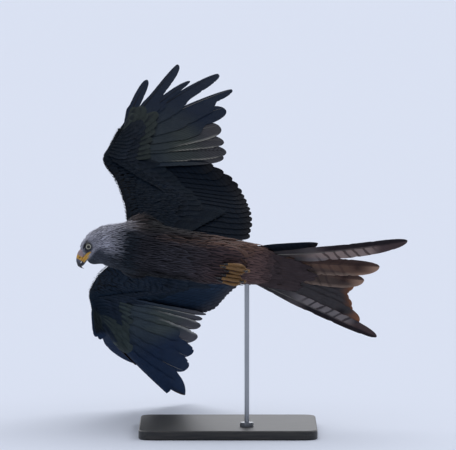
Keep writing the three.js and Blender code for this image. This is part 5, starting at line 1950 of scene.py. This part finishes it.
EYE = new_material("wet_cornea_and_iris", wet_iris)
LID = new_material("lid_skin", lid_skin)
for side, word in ((1, "left"), (-1, "right")):
    gaze = unit(head_direction(0.2, side, 0.04))
    across = unit(np.cross(gaze, head_direction(0, 0, 1)))
    upright = np.cross(gaze, across)
    middle = on_head(0, EYE_SPREAD * side, 0)
    polar = np.linspace(0.001, math.pi - 0.001, 28)
    bulge = 1 + 0.05 * np.exp(-((polar / 0.55) ** 2))
    centres = middle + gaze * (EYEBALL * bulge * np.cos(polar))[:, None]
    wide = (EYEBALL * bulge * np.sin(polar))[:, None]
    ball = seamed(ring_grid(centres, across * wide, upright * wide, 32))
    radius = {"radius": np.broadcast_to((polar / 1.57)[:, None], ball.shape[:2]).ravel()}
    grid_piece(f"eye_ball_{word}", ball[None], EYE, "eye", radius, replaces=(f"eye_{word}",))
    around = np.linspace(0, 2 * math.pi, 41)
    opening = 5.5 * (1 - 0.05 * np.sin(around) ** 2)
    ring_middle = middle + gaze * (EYEBALL * 0.72) + across * (opening * np.cos(around))[:, None]
    ring_middle = ring_middle + upright * (opening * 0.94 * np.sin(around))[:, None]
    out = unit(ring_middle - middle)
    thick = 0.85 + 0.25 * np.sin(3 * around) ** 2
    rim = seamed(ring_grid(ring_middle, out * thick[:, None], gaze * (0.8 * thick)[:, None], 12))
    grid_piece(f"eyelid_{word}", rim[None], LID, "head_feathers")

# %% [markdown]
# ## Legs and feet
# In flight the short legs are drawn up and back and the toes closed. Their skin is orange
# yellow, with rows of hard scutes over the toes and small round scales between. The scutes
# are raised in the mesh, not only painted, so that they catch the light along the toes. The
# claws are black horn, strongly curved and polished by use, so each has a small sharp glint.

# %% Skin and horn of the feet
# The small round scales are 1.5 mm wide. A claw's growth lines are much finer than 2.5 mm, but
# are drawn that coarse so that they show.
SMALL_SCALE = 1.5385
CLAW_GRAIN = 2.5


def scaly_skin(node):
    scute = node("Attribute", output="Fac", attribute_name="scute")
    place = node("TexCoord", output="Object")
    scales = {"Vector": place, "Scale": per_metre(SMALL_SCALE)}
    edge = node("TexVoronoi", scales, "Distance", feature="DISTANCE_TO_EDGE")
    crease = node("MapRange", {"Value": edge, "From Min": 0.0, "From Max": 0.12})
    height = node("Math", {0: crease, 1: scute}, operation="MINIMUM")
    # The low places, creases between the small scales and between the scutes, are painted dark brown, as
    # painted shade.
    ramp = node("ValToRGB", {"Fac": height}, "Color")
    set_stops(ramp, [(0.0, "#2c2014"), (0.55, "#8a6434")])
    relief = node("Bump", {"Height": height, "Strength": 0.7, "Distance": 0.0005})
    return node("BsdfPrincipled", {"Base Color": ramp, "Roughness": 0.48, "Normal": relief})


def black_horn(node):
    place = node("TexCoord", output="Object")
    grain = node("TexNoise", {"Vector": place, "Scale": per_metre(CLAW_GRAIN), "Detail": 3.0}, "Fac")
    ramp = node("ValToRGB", {"Fac": grain}, "Color")
    set_stops(ramp, [(0.0, "#131214"), (1.0, "#2b292c")])
    return node("BsdfPrincipled", {"Base Color": ramp, "Roughness": 0.25, "IOR": 1.54})


FOOT_SKIN = new_material("scaly_foot_skin", scaly_skin)
CLAW_HORN = new_material("black_claw_horn", black_horn)
print("horn and skin of the feet:", FOOT_SKIN.name, CLAW_HORN.name)

# %% [markdown]
# The leg, the palm and each toe are bent round limbs through a few knots, with a scute every
# 2.6 mm along them. Each claw starts inside the end of its toe, tapers and bends off it.

# %% Toes and claws
SCUTE = 2.6
ANKLES = {1: np.array([-62.0, -5.0, -38.0]), -1: np.array([-58.0, -26.0, -38.0])}
TOES = {
    "outer": [(-2, 4, -1), (4, 7.5, -7), (19, 8, -9), (31, 6.5, -8)],
    "middle": [(-3, 0, -2), (3, 0.3, -9), (20, 0.3, -11), (34, 0.3, -9.5)],
    "inner": [(-2, -4, -1), (3, -6.8, -7), (15, -7.3, -9), (26, -6.5, -8)],
    "hind": [(-3, 0, 0), (-9, 0, -3), (-11, 0, -9), (-7, 0, -13)],
}
TOE_RADII = [3.6, 3.1, 3.4, 2.6, 2.5]
LEG_RADII = [6.5, 4.6, 3.8, 4.4]


def limb_grid(knots, radii, stations, sides, scutes=0.0):
    """A round limb through knots, with raised scutes round it."""
    t = np.linspace(0, 1, stations)
    centre = curve(knots, t)
    run = unit(np.gradient(centre, axis=0))
    down = unit(np.array([0, 0, -1.0]) - (run @ np.array([0, 0, -1.0]))[:, None] * run)
    across = np.cross(run, down)
    steps = np.concatenate([[0], np.cumsum(np.linalg.norm(np.diff(centre, axis=0), axis=-1))])
    arch = np.abs(np.sin(math.pi * steps / SCUTE)) ** 0.5
    radius = along(radii, t) * (1 + scutes * (arch - 0.7))
    grid = ring_grid(centre, down * radius[:, None], across * radius[:, None], sides)
    end = centre[-1] + run[-1] * radius[-1] * 0.6
    grid = np.concatenate([grid, np.broadcast_to(end, (1, sides, 3))])
    return seamed(grid), np.append(arch, 1.0)


def make_foot(side, word):
    ankle = ANKLES[side]
    palm = ankle + (-43, 0.5, -8)
    grids, scutes = [], []

    def add(knots, radii, relief):
        grid, arch = limb_grid(knots, radii, 44, 16, relief)
        grids.append(grid)
        scutes.append(np.broadcast_to(arch[:, None], grid.shape[:2]))

    add([ankle + (16, 0, 12), ankle, palm], LEG_RADII, 0.05)
    add([palm + (7, 0, 1), palm, palm + (-6, 0, -1)], [4.0, 6.2, 4.6], 0.03)
    claws = []
    for path in TOES.values():
        knots = [palm + (x, y * side, z) for x, y, z in path]
        add(knots, TOE_RADII, 0.09)
        run = unit(knots[3] - knots[2])
        start = knots[3] - run
        hook = start + run * 7.6
        claws.append([start, hook, hook + run * 4.5 + (0.5, 0, 3.2)])
    raised = {"scute": np.stack(scutes).ravel()}
    limbs = (f"leg_{word}", f"foot_{word}")
    grid_piece(f"foot_{word}_skin", np.stack(grids), FOOT_SKIN, "foot_skin", raised, replaces=limbs)
    horn = np.stack([limb_grid(knots, [2.3, 1.9, 1.2, 0.4], 22, 12)[0] for knots in claws])
    solids = [f"claw_{word}_{toe}" for toe in TOES]
    grid_piece(f"claws_{word}", horn, CLAW_HORN, "claw", replaces=solids)


make_foot(1, "left")
make_foot(-1, "right")

# %% [markdown]
# ## The stand
# The stand is a plain museum one: a base of oak, stained nearly black and oiled to a satin
# finish, and a rod of brushed stainless steel in a turned collar. Both solids already have
# their true shape, so they only get materials. The oak's grain is drawn along its length, and
# the brushed lines along the rod spread its reflections into a soft band.


# %% Stand materials
# Oak's pores are 0.3 mm wide and a brush leaves lines of 0.05 mm. Both are drawn as coarse, in
# millimetres, as they need to be to show.
FIBRE_LENGTH, FIBRE_WIDTH = 55.556, 3.7037
STROKE_LENGTH, STROKE_WIDTH = 62.5, 0.625


def stained_oak(node):
    place = node("TexCoord", output="Object")
    fibres = (per_metre(FIBRE_LENGTH), per_metre(FIBRE_WIDTH), per_metre(FIBRE_WIDTH))
    stretched = node("Mapping", {"Vector": place, "Scale": fibres})
    grain = node("TexNoise", {"Vector": stretched, "Scale": 1.0, "Detail": 6.0}, "Fac")
    ramp = node("ValToRGB", {"Fac": grain}, "Color")
    set_stops(ramp, [(0.35, "#1f2123"), (0.65, "#3a3835")])
    relief = node("Bump", {"Height": grain, "Strength": 0.25, "Distance": 0.0004})
    return node("BsdfPrincipled", {"Base Color": ramp, "Roughness": 0.45, "Normal": relief})


def brushed_steel(node):
    place = node("TexCoord", output="Object")
    strokes = (per_metre(STROKE_WIDTH), per_metre(STROKE_WIDTH), per_metre(STROKE_LENGTH))
    stretched = node("Mapping", {"Vector": place, "Scale": strokes})
    lines = node("TexNoise", {"Vector": stretched, "Scale": 1.0, "Detail": 3.0}, "Fac")
    ramp = node("ValToRGB", {"Fac": lines}, "Color")
    set_stops(ramp, [(0.0, "#8b8f94"), (1.0, "#b3b6ba")])
    relief = node("Bump", {"Height": lines, "Strength": 0.2, "Distance": 0.0001})
    finish = {"Metallic": 1.0, "Roughness": 0.32, "Normal": relief}
    return node("BsdfPrincipled", {"Base Color": ramp, **finish})


OAK = new_material("stained_oak", stained_oak)
STEEL = new_material("brushed_stainless_steel", brushed_steel)
for name, material in (("stand_base", OAK), ("stand_rod", STEEL)):
    solid = frame["nodes"][name]
    solid.data.materials.clear()
    solid.data.materials.append(material)
    print(name, "is", material.name)
